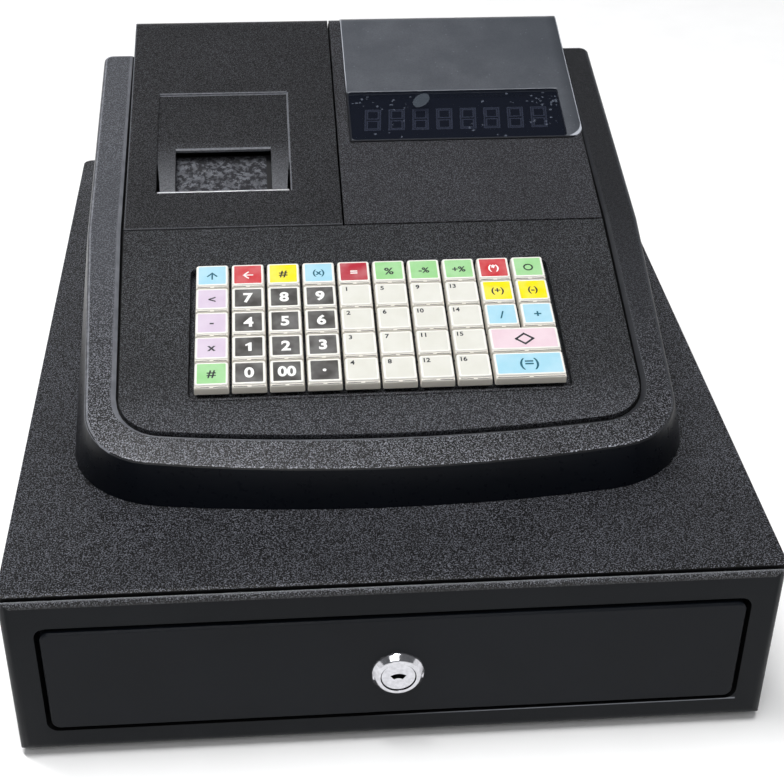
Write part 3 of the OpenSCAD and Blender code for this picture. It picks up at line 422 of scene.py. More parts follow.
def chute_plastic():
    """Grained printer cover with painted highlights along the chute's end, its right side, its notch and
    its legs, and along the cover's left and front edge."""
    n = Nodes("printer_grain")
    x, u = n.axes(n.plane(SEAM_Y, SEAM_Z, REAR_T))[:2]
    x = n.less(x, CHUTE_X * MM)
    grain, tone = n.grain(GRAIN, srgb(10, 10, 12), srgb(72, 73, 78))
    end, notch, side, rim = CHUTE_U + CHUTE_L, CHUTE_U + NOTCH_L, CHUTE_W / 2, -COVER_HW - CHUTE_X
    inside, along = n.band(x, -side, side, 0.1), n.band(u, CHUTE_U, end)
    # Painted highlights where these edges and the legs would catch the light
    painted_highlight = n.highest(
        n.times(n.band(u, end - 0.9, end + 0.9), inside),
        n.times(n.band(x, side - 0.3, side + 0.7, 0.2), along),
        n.times(n.band(u, notch - 0.2, notch + 1.1), n.band(x, -NOTCH_W / 2, NOTCH_W / 2, 0.1)),
        n.times(n.ramp(u, CHUTE_U, notch + 6, 0.7, 0.0), inside, along),
        n.times(n.ramp(x, rim + 0.7, rim + 1.3, 0.9, 0.0), n.ramp(u, 0, 120, 0.5, 1.0)),
        n.ramp(u, 0.9, 1.5, 0.4, 0.0))
    painted_highlight = n.times(painted_highlight, n.remap(n.noise(1.3), 0.3, 0.6, 0.6, 1.0))
    tone = n.mix(painted_highlight, tone, srgb(112, 114, 120))
    return n.sandy(tone, grain, 0.09, 1.6, 0.46, 0.25, n.round_edges(0.5))


def satin(name, color, rough, level, vary=0.12, peel=0.006, edge=0.4):
    """Satin paint or plain plastic with a faint orange peel."""
    n = Nodes(name)
    tone = n.cloudy(38.0, scaled(color, 1 - vary), scaled(color, 1 + vary))
    return n.smooth(tone, (rough - 0.04, rough + 0.05), level, peel, edge)


def metal(name, color, rough, streak=(1, 1, 1)):
    """Plated or drawn metal. streak squeezes its marks along each axis, or stretches them below 1."""
    n = Nodes(name)
    marks = n.noise(2.0, 4.0, 0.6, n.mapped(n.pos, scale=streak))
    tone = n.mix(n.remap(marks, 0.35, 0.65, 0.0, 1.0), scaled(color, 0.8), color)
    roughness = n.remap(marks, 0.3, 0.7, max(rough - 0.04, 0.02), rough + 0.06)
    return n.done(n.shader(tone, roughness, n.bump(marks, 0.003, 0.5, n.round_edges(0.2)), Metallic=1.0))


def card(name, color):
    """Printed card under the clear cover of a key."""
    n = Nodes("card_" + name)
    fibre = n.remap(n.noise(0.6, 3.0), 0.35, 0.65, 0.0, 0.10)
    tone = n.mix(fibre, color, scaled(color, 0.86))
    tone = n.mix(n.remap(n.noise(9.0), 0.35, 0.65, 0.0, 0.10), tone, (1, 1, 1, 1))
    roughness = n.remap(n.noise(4.0), 0.3, 0.7, 0.32, 0.42)
    return n.done(n.shader(tone, roughness, n.bump(n.noise(2.5), 0.003, 0.5), 0.3, Coat_Weight=0.2,
                           Coat_Roughness=0.25))


def lens_film():
    """Grey protective film over the smoked sheet, left clear in front of the display. The sheet is bare
    below the window and beside it on the left."""
    n = Nodes("lens_film")
    x, u = n.axes(n.plane(SEAM_Y, SEAM_Z, REAR_T))[:2]
    r = 2.2
    film = n.corner_distance(x, u, WINDOW_X0, WINDOW_X1, WINDOW_U0, WINDOW_U1, r)
    film = n.ramp(film, r - 0.1, r + 0.1, 0.0, 1.0, True)
    beside = n.times(n.ramp(x, WINDOW_X0 - 0.1, WINDOW_X0 + 0.1, 1.0, 0.0),
                     n.ramp(u, WINDOW_U1 - 1, WINDOW_U1, 1.0, 0.0))
    covered = n.times(n.ramp(u, WINDOW_U0 - 0.3, WINDOW_U0 + 0.1, 0.0, 1.0), n.less(1.0, beside))
    # Its grey, darker towards the right, with fine marks and pale specks
    cloud = n.remap(n.noise(16.0, 3.0, 0.6), 0.35, 0.68, 0.0, 1.0)
    grey = n.mix(cloud, srgb(74, 77, 83), srgb(84, 87, 93))
    right = n.times(n.ramp(x, 40, LENS_X1, 0.0, 0.5), n.ramp(u, 110, 140, 0.2, 1.0))
    grey = n.mix(right, grey, srgb(52, 57, 64))
    grey = n.mix(n.ramp(x, WINDOW_X1 + 2, LENS_X1, 0.0, 0.6), grey, srgb(40, 44, 50))
    grey = n.mix(n.remap(n.noise(0.8, 3.0, 0.7), 0.42, 0.6, 0.0, 0.3), grey, srgb(50, 53, 59))
    grey = n.mix(n.remap(n.cells(4.5), 0.05, 0.12, 0.35, 0.0, True), grey, srgb(128, 132, 140))
    # Painted highlights above the window, round the lens's lower right corner and along its left edge
    above = n.times(n.band(u, WINDOW_U1 - 0.1, WINDOW_U1 + 0.5, 0.2), n.band(x, WINDOW_X0, WINDOW_X1, 0.5))
    r = LENS_R + 4
    edge = n.corner_distance(x, u, -FAR, LENS_X1, LENS_U, FAR, r)
    edge = n.times(n.ramp(edge, r - 0.7, r, 0.0, 0.9, True),
                   n.ramp(x, WINDOW_X1 - 1, WINDOW_X1 + 3, 0.0, 1.0))
    left = n.times(n.band(x, LENS_X0 - 1, LENS_X0 + 0.5, 0.1), n.ramp(u, WINDOW_U1, 115, 0.1, 0.8))
    grey = n.mix(n.highest(n.times(above, 0.35), edge, left), grey, srgb(176, 180, 188))
    grey = n.mix(covered, srgb(20, 22, 28), grey)
    s = n.shader(n.mix(film, srgb(15, 20, 32), grey), n.remap(film, 0.0, 1.0, 0.12, 0.36),
                 n.bump(n.noise(1.1, 3.0), 0.008, 0.5, n.round_edges(0.5)), 0.35)
    n.feed(s.inputs["Alpha"], n.remap(film, 0.0, 1.0, 0.5, 1.0))
    return n.done(s)


def crumpled_film():
    """Crumpled clear film over the paper guide, dark and milky along its creases."""
    n = Nodes("guide_film")
    crease = n.noise(3.2, 5.0, 0.7)
    milky = n.times(n.remap(crease, 0.44, 0.58, 0.0, 1.0, True), n.remap(n.cells(5.0), 0.2, 0.7, 0.4, 1.0))
    tone = n.mix(milky, srgb(48, 48, 51), srgb(99, 101, 107))
    roughness = n.remap(crease, 0.4, 0.7, 0.18, 0.42)
    return n.done(n.shader(tone, roughness, n.bump(crease, 0.15, 0.7), 0.15))


def printed(name, color, alpha=1.0):
    """Thin print or film mark with a slightly uneven tone."""
    n = Nodes(name)
    tone = n.cloudy(1.5, scaled(color, 0.84), color, 3.0)
    return n.done(n.shader(tone, n.remap(n.noise(2.5), 0.3, 0.7, 0.34, 0.46),
                           n.bump(n.noise(1.1), 0.002, 0.4), 0.3, Alpha=alpha))


M = {
    "case_top": grained("case_wrinkle", srgb(4, 4, 5), srgb(110, 112, 120), COARSE, 0.16, 0.46, 0.21),
    "case_strip": strip_paint(),
    "case_front": front_paint(),
    "drawer_front": satin("drawer_front", srgb(15, 18, 23), 0.40, 0.12),
    "pan": satin("pan_grey", srgb(58, 59, 62), 0.45, 0.35),
    "shell": rim_plastic(),
    "bevel": bevel_plastic(),
    "brim": brim_plastic(),
    "back": grained("back_grain", srgb(22, 22, 25), srgb(60, 61, 66), 0.75, 0.08, 0.46, 0.3),
    "cover": grained("cover_grain", srgb(25, 25, 28), srgb(84, 85, 91), GRAIN, 0.07, 0.46, 0.25),
    "keyboard": keyboard_plastic(),
    "printer": chute_plastic(),
    "wall": satin("shell_wall", srgb(10, 13, 19), 0.30, 0.12, peel=0.003),
    "inner": satin("inner_black", srgb(14, 14, 15), 0.55, 0.12),
    "guide": satin("guide_black", srgb(30, 30, 32), 0.45, 0.3),
    "tray": grained("tray_grain", srgb(36, 36, 38), srgb(52, 52, 55), GRAIN, 0.03, 0.5, 0.4),
    "chrome": metal("chrome", srgb(214, 214, 219), 0.10),
    "plug": plug_metal(),
    "spring": metal("spring_steel", srgb(190, 192, 196), 0.25, (4, 0.3, 1)),
    "tear": metal("tear_steel", srgb(205, 205, 208), 0.35, (8, 1, 8)),
    "rubber": satin("rubber_black", srgb(26, 26, 27), 0.75, 0.2),
    "key_body": satin("key_ivory", srgb(222, 218, 209), 0.42, 0.4, 0.02, 0.003, 0.2),
    # Painted shade: a darker copy of the ivory for the keys' front faces
    "key_front": satin("key_painted_shade", srgb(204, 199, 189), 0.46, 0.35, 0.03, 0.003, 0.2),
    "key_rim": satin("key_rim", srgb(234, 232, 226), 0.34, 0.45, 0.02, 0.002, 0.15),
    "print_white": printed("print_white", srgb(248, 248, 246)),
    "print_grey": printed("print_grey", srgb(52, 54, 58)),
    "print_blue": printed("print_blue", srgb(24, 92, 112)),
    "board": printed("display_board", srgb(22, 28, 46)),
    "segment": printed("display_segment", srgb(146, 155, 186)),
    "film_spot": printed("film_spot", srgb(104, 112, 126), 0.45),
    "bubble": printed("film_bubble", srgb(68, 75, 84), 0.75),
    "guide_film": crumpled_film(),
    "lens": lens_film(),
}
CARDS = {
    "blue": srgb(160, 206, 223), "lilac": srgb(206, 190, 209), "green": srgb(148, 202, 138),
    "red": srgb(192, 40, 48), "yellow": srgb(238, 218, 10), "wine": srgb(172, 40, 56),
    "ivory": srgb(213, 212, 203), "dark": srgb(70, 68, 66), "pink": srgb(222, 197, 206),
}
M.update({"card_" + name: card(name, color) for name, color in CARDS.items()})


# ---------------------------------------- mesh helpers
def new_object(name, data):
    """A new object, linked to the scene."""
    obj = bpy.data.objects.new(name, data)
    bpy.context.scene.collection.objects.link(obj)
    return obj


# Vertices this close are one, m
WELD = 2e-6


def weld(mesh):
    """Places of the vertices, the vertex of each face corner, and a number for each corner that is the
    same for corners that touch."""
    co = np.empty(len(mesh.vertices) * 3)
    mesh.vertices.foreach_get("co", co)
    co = co.reshape(-1, 3)
    _, place = np.unique(np.round(co / WELD).astype(np.int64), axis=0, return_inverse=True)
    vertex = np.empty(len(mesh.loops), int)
    mesh.loops.foreach_get("vertex_index", vertex)
    return co, vertex, place.reshape(-1)[vertex]


def corner_angles(co, vertex, total):
    """Face of each corner, and the angle that the face has there."""
    face = np.repeat(np.arange(len(total)), total)
    first = np.r_[0, np.cumsum(total)[:-1]][face]
    step = np.arange(len(vertex)) - first
    p = co[vertex]
    a = p[first + (step + 1) % total[face]] - p
    b = p[first + (step - 1) % total[face]] - p
    size = np.linalg.norm(a, axis=1) * np.linalg.norm(b, axis=1) + 1e-12
    return face, np.arccos(np.clip((a * b).sum(1) / size, -1, 1))


def soften(mesh, angle):
    """Smooth shading of a CAD mesh across every edge that bends less than the angle, in degrees."""
    count = len(mesh.polygons)
    normal, area, total = np.empty(count * 3), np.empty(count), np.empty(count, int)
    mesh.polygons.foreach_get("normal", normal)
    mesh.polygons.foreach_get("area", area)
    mesh.polygons.foreach_get("loop_total", total)
    co, vertex, place = weld(mesh)
    face, bend = corner_angles(co, vertex, total)
    normal = normal.reshape(-1, 3)[face]
    weight = bend * np.sqrt(area[face])
    smooth = normal.copy()
    order = np.argsort(place, kind="stable")
    starts = np.flatnonzero(np.r_[True, np.diff(place[order]) > 0])
    for group in np.split(order, starts[1:]):
        near = normal[group] @ normal[group].T > math.cos(math.radians(angle))
        total_normal = (near * weight[group]) @ normal[group]
        length = np.linalg.norm(total_normal, axis=1)
        ok = length > 1e-9
        smooth[group[ok]] = total_normal[ok] / length[ok][:, None]
    mesh.shade_smooth()
    mesh.normals_split_custom_set(smooth.tolist())


def finish_node(node, mats, pick=None, angle=38.0):
    """Materials for a CAD node. pick(centre in mm, normal) gives the material of each face."""
    mesh = NODES[node].data
    mesh.materials.clear()
    for m in mats:
        mesh.materials.append(M[m])
    if pick:
        for poly in mesh.polygons:
            poly.material_index = mats.index(pick(poly.center / MM, poly.normal))
    soften(mesh, angle)


def rounded(w, l, r, n=4, cx=0.0, cy=0.0, z=0.0):
    """Points of a rounded rectangle, anticlockwise from its lower right corner."""
    points = []
    for sx, sy, start in ((1, -1, -90), (1, 1, 0), (-1, 1, 90), (-1, -1, 180)):
        for i in range(n + 1):
            a = math.radians(start + 90 * i / n)
            x, y = sx * (w / 2 - r) + r * math.cos(a), sy * (l / 2 - r) + r * math.sin(a)
            points.append((cx + x, cy + y, z))
    return points


class Shape:
    """A mesh put together from parts in mm, each with its material."""

    def __init__(self, mats):
        self.mats = mats
        self.verts, self.faces, self.index = [], [], []

    def add(self, verts, faces, mat, at=(0, 0, 0)):
        """mat is one material's name, or a name for each face."""
        k = len(self.verts)
        self.verts.extend((x + at[0], y + at[1], z + at[2]) for x, y, z in verts)
        self.faces.extend(tuple(i + k for i in face) for face in faces)
        names = [mat] * len(faces) if isinstance(mat, str) else mat
        self.index.extend(self.mats.index(m) for m in names)

    def sheet(self, points, mat, at=(0, 0, 0)):
        self.add(points, [tuple(range(len(points)))], mat, at)

    def skin(self, loops, mat, bottom=False, top=False):
        """Skin between loops of equal length, closed at the bottom or the top."""
        n = len(loops[0])
        faces = [(k * n + i, k * n + (i + 1) % n, (k + 1) * n + (i + 1) % n, (k + 1) * n + i)
                 for k in range(len(loops) - 1) for i in range(n)]
        if bottom:
            faces.append(tuple(reversed(range(n))))
        if top:
            faces.append(tuple((len(loops) - 1) * n + i for i in range(n)))
        verts = [p for loop in loops for p in loop]
        if callable(mat):
            mat = [mat([verts[i] for i in face]) for face in faces]
        self.add(verts, faces, mat)

    def piece(self, name, plane, body, slot, smooth=40.0):
        """The finished piece in its sloping plane, riding on a body."""
        mesh = bpy.data.meshes.new(name)
        mesh.from_pydata([plane @ (Vector(v) * MM) for v in self.verts], [], self.faces)
        for m in self.mats:
            mesh.materials.append(M[m])
        mesh.polygons.foreach_set("material_index", self.index)
        mesh.validate()
        mesh.update()
        if smooth:
            mesh.shade_smooth()
            mesh.set_sharp_from_angle(angle=math.radians(smooth))
        obj = new_object(name, mesh)
        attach(obj, body)
        return obj


# ---------------------------------------- finishes of the CAD nodes
def case_face(c, n):
    """Rubber feet, textured sheet, the smooth front frame, and the dark mouth and seam."""
    back, over_edge = c.y - FRONT_Y, c.z - (CASE_TOP - CASE_EDGE_R)
    if c.z < FOOT_H + 0.01:
        return "rubber"
    if SEAM_IN - TOL < back < SEAM_IN + SEAM_GAP + TOL and abs(n.y) > 0.9 and over_edge > -TOL:
        return "inner"
    lip = LIP_T + TOL
    in_mouth = MOUTH_Z0 - lip < c.z < MOUTH_Z1 + lip and abs(c.x) < MOUTH_HW + lip
    if in_mouth and TOL / 2 < back < LIP_D + TOL:
        return "inner"
    if back < TOL / 2 and n.y < -0.98 and over_edge < TOL:
        return "case_front"
    if back < SEAM_IN and over_edge > 0:
        return "case_strip"
    if back < CASE_EDGE_R and n.y < -0.05 and over_edge < 0:
        return "case_front"
    return "case_top"


def drawer_face(c, n):
    """The lock's bezel, barrel and nut are plated; the front is smooth and the pan plain."""
    r = math.hypot(c.x, c.z - LOCK_Z)
    if r < BARREL_R + 0.2 or r < BEZEL_R + 0.3 and not FACE_Y - 0.01 < c.y < FACE_Y + FRONT_T:
        return "chrome"
    return "drawer_front" if c.y < FRONT_END else "pan"


def base_face(c, n):
    """The rim of the deck, the bevel round its recess, the smooth outer wall, the dark inside
    and the block at the rear."""
    x, v, w = local(TO_DECK, c)
    slope = TO_DECK.to_3x3() @ n
    near = abs(x) < COVER_HW + NEAR and v > COVER_V - NEAR
    below_brim = w < -BRIM_MID and slope.z < 0.6
    if below_brim and (abs(x) > COVER_HW + 0.3 and v > -60 and c.y < BACK_Y
                       or not near and v < COVER_V):
        return "wall"
    if not near and -BRIM_MID < w < -0.02:
        return "brim"
    if near and -BEVEL_D < w < -0.02 and 0.3 < slope.z < 0.95:
        return "bevel"
    if w > -BRIM_MID:
        return "shell"
    if c.y > BACK_Y and n.z < 0.5:
        return "back"
    return "inner" if near else "wall"


def printer_face(c, n):
    """Textured cover with the steel tear bar at the lower edge of its chute."""
    x, u, w = local(TO_REAR, c)
    on_bar = abs(x - CHUTE_X) < CHUTE_W / 2 - 0.9 and CHUTE_U - 0.5 < u < CHUTE_U + 1.3
    return "tear" if on_bar and -1.1 < w < -0.1 else "printer"


finish_node("drawer_case", ["case_top", "case_strip", "case_front", "inner", "rubber"], case_face, 30)
finish_node("cash_drawer", ["drawer_front", "chrome", "pan"], drawer_face)
finish_node("cash_tray", ["tray"])
finish_node("bill_clips", ["spring"])
finish_node("lock_cylinder", ["plug"])
finish_node("base_case", ["shell", "bevel", "brim", "wall", "inner", "back"], base_face, 24)
finish_node("keyboard_panel", ["keyboard"])
finish_node("display_cover", ["cover"])
finish_node("printer_cover", ["printer", "tear"], printer_face)
finish_node("print_unit", ["guide"])
finish_node("platen_roller", ["rubber"])
finish_node("display_lens", ["lens"])


# ---------------------------------------- keys
# Height of a capital as a share of the font's size
CAPITAL = 0.72


def glyph(text, height, bold, squeeze=1.0):
    """Flat mesh of a short text in mm, centred. Returns vertices and faces."""
    curve = bpy.data.curves.new("glyph", "FONT")
    curve.body = text
    curve.size = height / CAPITAL
    curve.offset = bold
    curve.resolution_u = 4
    obj = new_object("glyph", curve)
    mesh = obj.evaluated_get(bpy.context.evaluated_depsgraph_get()).to_mesh()
    co = np.array([tuple(v.co) for v in mesh.vertices])
    faces = [tuple(p.vertices) for p in mesh.polygons]
    bpy.data.objects.remove(obj)
    bpy.data.curves.remove(curve)
    co -= (co.min(0) + co.max(0)) / 2
    co[:, 0] *= squeeze
    return [tuple(p) for p in co], faces


def stroke(points, width):
    """Flat strip of quads along points in mm."""
    verts, faces = [], []
    for (x0, y0), (x1, y1) in zip(points[:-1], points[1:]):
        d = math.hypot(x1 - x0, y1 - y0)
        ex, ey = (x1 - x0) / d * width / 2, (y1 - y0) / d * width / 2
        k = len(verts)
        verts += [(x0 + ey - ex, y0 - ex - ey, 0), (x1 + ey + ex, y1 - ex + ey, 0),
                  (x1 - ey + ex, y1 + ex + ey, 0), (x0 - ey - ex, y0 + ex - ey, 0)]
        faces.append((k, k + 1, k + 2, k + 3))
    return verts, faces


def circle(r, n=16):
    """Points of a closed circle in mm."""
    return [(r * math.cos(2 * math.pi * i / n), r * math.sin(2 * math.pi * i / n)) for i in range(n + 1)]


# Plain symbols drawn with strokes, in mm
SYMBOLS = {
    "up": [[(-1.9, -0.2), (0, 1.8), (1.9, -0.2)], [(0, -2.0), (0, 1.4)]],
    "back": [[(0.2, -1.9), (-1.8, 0), (0.2, 1.9)], [(2.0, 0), (-1.4, 0)]],
    "ring": [circle(1.8)],
    "rhomb": [[(-2.4, 0), (0, 2.0), (2.4, 0), (0, -2.0), (-2.4, 0)]],
}

# The keys from the rear row to the front: card and legend
ROWS = (
    "blue:up red:back yellow:# blue:(x) wine:= green:% green:-% green:+% red:(*) green:ring",
    "lilac:< dark:7 dark:8 dark:9 ivory:1 ivory:5 ivory:9 ivory:13 yellow:(+) yellow:(-)",
    "lilac:- dark:4 dark:5 dark:6 ivory:2 ivory:6 ivory:10 ivory:14 blue:/ blue:+",
    "lilac:x dark:1 dark:2 dark:3 ivory:3 ivory:7 ivory:11 ivory:15 pink:rhomb",
    "green:# dark:0 dark:00 dark:. ivory:4 ivory:8 ivory:12 ivory:16 blue:(=)",
)
INK = {"red": "print_white", "wine": "print_white", "blue": "print_blue"}
# Height of the lip of the front row's keys and of the others; width and end of the stem
KEY_LIP_FRONT, KEY_LIP = 4.5, 4.8
STEM, STEM_Z = 7.0, -11.0
# Rings of the cover's rim: height, how far it's set in, corner radius
RIM_RINGS = ((4.4, 0.0, 1.0), (5.1, 0.05, 1.0), (5.36, 0.2, 1.0), (CAP_TOP, 0.45, 0.9))
# How far the cover's rim stands back at the front, at the rear and all round, how far up the key
# the middle of its card lies, and how high the prints lie above it
RIM_FRONT, RIM_REAR, RIM_IN = 1.0, 0.1, 0.35
CARD_MID, PRINT_UP = 0.3, 0.02
# Outline of the figure 1
ONE = [(-1.6, 0.5), (-0.3, 1.0), (-0.3, -2.8), (1.3, -2.8), (1.3, 2.8), (0.5, 2.8), (-1.6, 1.6)]


class Key:
    """One key: skirt, stem, front lip with its painted shade line, clear cover, card and legend."""

    def __init__(self, row, col, colour, legend):
        self.wide = row < 2 and col == 8
        self.w = KEY_W + (KEY_PX if self.wide else 0.0)
        self.at = ((col + (0.5 if self.wide else 0.0) - (KEY_COLS - 1) / 2) * KEY_PX, KEY_V + row * KEY_PV)
        self.name = "r%d_c%d" % (row + 1, col + 1)
        self.lip = KEY_LIP_FRONT if row == 0 else KEY_LIP
        self.colour, self.legend = colour, legend
        back = "ivory" if colour == "dark" else colour
        mats = ["key_body", "key_rim", "key_front", "card_" + back, "print_grey"]
        mats += ["card_dark", "print_white"] if colour == "dark" else []
        mats += [INK[colour]] if colour in INK else []
        self.shape = Shape(mats)

    def ring(self, z, inset, r, front=0.0, rear=0.0):
        """Outline of the key at a height, set in all round, and more at its front and rear."""
        return rounded(self.w - 2 * inset, KEY_L - 2 * inset - front - rear, r, 4, 0, (front - rear) / 2, z)

    def skirt(self):
        """Tapered skirt with a rounded shoulder, and the stem in its guide."""
        lip = self.lip
        rings = ((CAP_Z0, 0.0, 0.8), (3.2, 0.12, 0.9), (lip - 0.45, 0.22, 0.9), (lip - 0.1, 0.4, 0.9),
                 (lip, 0.7, 0.8))
        # The skirt's front faces take the painted shade
        self.shape.skin([self.ring(*row) for row in rings], lambda face: "key_front" if all(
            y < -KEY_L / 2 + 0.5 and z < lip - 0.3 for _, y, z in face) else "key_body", True, True)
        self.shape.skin([rounded(STEM, STEM, 0.4, 2, z=z) for z in (STEM_Z, CAP_Z0 + 0.2)], "key_body", True)

    def cover(self):
        """Clear cover with its round rim, and the card under it."""
        rim = [self.ring(z, RIM_IN + inset, r, RIM_FRONT, RIM_REAR) for z, inset, r in RIM_RINGS]
        edge = self.ring(CAP_TOP - PRINT_UP, 1.45, 0.5, RIM_FRONT - 0.3, 0.0)
        self.shape.skin(rim + [edge], "key_rim")
        self.shape.sheet(edge, "card_ivory" if self.colour == "dark" else "card_" + self.colour)
        if self.colour == "dark":
            self.shape.sheet(rounded(self.w - 3.4, 12.2, 0.4, 3, 0, CARD_MID, CAP_TOP + 0.01), "card_dark")

    def line(self):
        """Painted shade on the front lip: a dark line for the shade of a narrow groove, broken by a notch in
        the middle.
        """
        y = -KEY_L / 2 + 0.62
        for s in (-1, 1):
            verts, faces = stroke([(s * (self.w / 2 - 1.2), y), (s * 1.1, y)], 0.34)
            faces = faces if s < 0 else [f[::-1] for f in faces]
            self.shape.add(verts, faces, "print_grey", (0, 0, self.lip + PRINT_UP))

    def numeral(self):
        """White figure of a dark card, or the small number in the corner of an ivory one."""
        at = (0, CARD_MID, CAP_TOP + PRINT_UP)
        if self.colour == "ivory":
            verts, faces = glyph(self.legend, 2.7, 0.12)
            self.shape.add(verts, faces, "print_grey", (-self.w / 2 + 3.8, KEY_L / 2 - 3.6, CAP_TOP))
        elif self.legend in (".", "1"):
            points = circle(0.9, 12)[:-1] if self.legend == "." else ONE
            self.shape.sheet([(x, y, 0) for x, y in points], "print_white", at)
        else:
            verts, faces = glyph(self.legend, 6.3, 0.32, 1.0 if len(self.legend) == 1 else 0.95)
            self.shape.add(verts, faces, "print_white", at)

    def symbol(self):
        """Plain symbol of a function key."""
        ink = INK.get(self.colour, "print_grey")
        size = 1.7 if self.wide else 1.15
        at = (0, CARD_MID - 0.4, CAP_TOP)
        for points in SYMBOLS.get(self.legend, []):
            verts, faces = stroke([(x * size, y * size) for x, y in points], 0.62 * size)
            self.shape.add(verts, faces, ink, at)
        if self.legend not in SYMBOLS:
            verts, faces = glyph(self.legend, (3.3 if len(self.legend) > 1 else 4.2) * size, 0.14)
            self.shape.add(verts, faces, ink, at)

    def build(self):
        self.skirt()
        self.cover()
        self.line()
        if self.colour in ("dark", "ivory"):
            self.numeral()
        else:
            self.symbol()
        plane = DECK @ Matrix.Translation((self.at[0] * MM, self.at[1] * MM, 0))
        obj = self.shape.piece("cap_" + self.name, plane, "b_key_" + self.name, "key_body")
        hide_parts("key_" + self.name)


for i, keys in enumerate(ROWS):
    for col, key in enumerate(keys.split()):
        Key(KEY_ROWS - 1 - i, col, *key.split(":")).build()


# ---------------------------------------- display
# The figures: number, pitch, place of the first, size, width of their bars, slant, width of the lines
DIGITS, DIGIT_PITCH = 8, 13.22
DIGIT_X, DIGIT_U = LENS_X0 + 8.5, WINDOW_U0 + 13.6
DIGIT_W, DIGIT_H, DIGIT_T, DIGIT_SLANT, DIGIT_LINE = 9.1, 18.0, 1.1, 0.08, 0.85
# The bubble under the film: place, half sizes and turn. The groups of specks: place, spread, number.
BUBBLE = (37.0, 98.8, 6.6, 4.0, math.radians(58))
SPECKS = ((105, 97, 5.5, 26), (7, 96, 6, 9), (26, 97, 5, 8), (62, 71, 7, 5), (20, 73, 5, 5),
          (103, 78, 6, 8), (60, 90, 30, 10))


def outline(x0, y0, x1, y1, width):
    """Points and faces of a thin closed frame just inside a rectangle."""
    outer = [(x0, y0), (x1, y0), (x1, y1), (x0, y1)]
    x0, y0, x1, y1 = x0 + width, y0 + width, x1 - width, y1 - width
    inner = [(x0, y0), (x1, y0), (x1, y1), (x0, y1)]
    return outer + inner, [(a, (a + 1) % 4, 4 + (a + 1) % 4, 4 + a) for a in range(4)]


def digits():
    """Eight unlit seven-segment figures: the outline of each and of its two windows."""
    shape = Shape(["segment"])
    mid, t = DIGIT_H / 2, DIGIT_T
    frames = ((0, 0, DIGIT_W, DIGIT_H), (t, t, DIGIT_W - t, mid - t / 2),
              (t, mid + t / 2, DIGIT_W - t, DIGIT_H - t))
    for i in range(DIGITS):
        for corners in frames:
            points, faces = outline(*corners, DIGIT_LINE)
            shape.add([(x + DIGIT_SLANT * y, y, 0) for x, y in points], faces, "segment",
                      (DIGIT_X + i * DIGIT_PITCH, DIGIT_U, BOARD_W + 0.06))
    shape.piece("digits", REAR, "register", "inner_plastic", 0)


def board_face():
    """Printed face of the display board."""
    shape = Shape(["board"])
    w, l = WINDOW_X1 - WINDOW_X0 - 0.4, WINDOW_U1 - WINDOW_U0 - 0.6
    cx, cy = (WINDOW_X0 + WINDOW_X1) / 2, (WINDOW_U0 + WINDOW_U1) / 2
    shape.skin([rounded(w, l, 1.5, 4, cx, cy, BOARD_W + z) for z in (0, 0.03)], "board", True, True)
    shape.piece("board_face", REAR, "register", "inner_plastic", 0)


def film_spots():
    """A large air bubble and many specks under the film of the lens."""
    rng = np.random.default_rng(5)
    shape = Shape(["film_spot", "bubble"])

    def spot(cx, cy, rx, ry, turn, n, wobble, mat="film_spot"):
        points = []
        for i in range(n):
            a = 2 * math.pi * i / n
            k = 1 + rng.uniform(-wobble, wobble)
            x, y = rx * k * math.cos(a), ry * k * math.sin(a)
            points.append((cx + x * math.cos(turn) - y * math.sin(turn),
                           cy + x * math.sin(turn) + y * math.cos(turn), LENS_PROUD + 0.005))
        shape.sheet(points, mat)

    spot(*BUBBLE, 26, 0.03, "bubble")
    for cx, cy, spread, count in SPECKS:
        for _ in range(count):
            x = float(np.clip(rng.normal(cx, spread), WINDOW_X0 + 2, WINDOW_X1 - 2))
            y = float(np.clip(rng.normal(cy, spread * 0.6), WINDOW_U0 + 1, WINDOW_U1 - 2))
            r = float(rng.uniform(0.22, 0.75))
            spot(x, y, r * rng.uniform(1.0, 1.7), r, rng.uniform(0, 3.1), 8, 0.2)
    shape.piece("film_spots", REAR, "register", "lens_smoke", 0)


digits()
board_face()
film_spots()


# ---------------------------------------- film over the paper guide
def guide_film():
    """Crumpled film over the guide plate, raised by many crossing folds."""
    rng = np.random.default_rng(11)
    nx, ny, count = 61, 45, 90
    hw, u0, u1 = 24.8, CHUTE_U - 2, CHUTE_U + 38
    folds = [(rng.uniform(-hw, hw), rng.uniform(u0, u1), rng.uniform(0, math.pi), rng.uniform(2, 7),
              rng.uniform(-0.5, 0.6)) for _ in range(count)]

    def height(x, u):
        h = 0.0
        for fx, fu, a, width, rise in folds:
            across = abs((x - fx) * math.cos(a) + (u - fu) * math.sin(a))
            along = abs((u - fu) * math.cos(a) - (x - fx) * math.sin(a))
            h += rise * max(0.0, 1 - across / width) * max(0.0, 1 - along / (width * 1.8))
        edge = max(0.0, min(1.0, (x + hw) / 3, (hw - x) / 3, (u - u0) / 3, (u1 - u) / 3))
        return 0.05 + (0.55 + min(max(h, -0.5), 1.6)) * edge

    shape = Shape(["guide_film"])
    xs, us = np.linspace(-hw, hw, nx), np.linspace(u0, u1, ny)
    verts = [(CHUTE_X - 2.2 + x, u, GUIDE_W + height(x, u)) for u in us for x in xs]
    faces = [(k, k + 1, k + nx + 1, k + nx) for j in range(ny - 1) for k in range(j * nx, (j + 1) * nx - 1)]
    shape.add(verts, faces, "guide_film")
    shape.piece("guide_film", REAR, "register", "inner_plastic", 180)


def tear_strip():
    """Folded steel edge over the teeth of the tear bar."""
    w, l, at = CHUTE_W - 1.6, 0.9, (CHUTE_X, CHUTE_U + 0.5)
    shape = Shape(["tear"])
    shape.skin([rounded(w, l, 0.3, 3, *at, -0.2), rounded(w, l, 0.3, 3, *at, 0.0),
                rounded(w - 0.2, l - 0.2, 0.25, 3, *at, 0.1)], "tear", True, True)
    shape.piece("tear_strip", REAR, "printer_lid", "steel_bright")


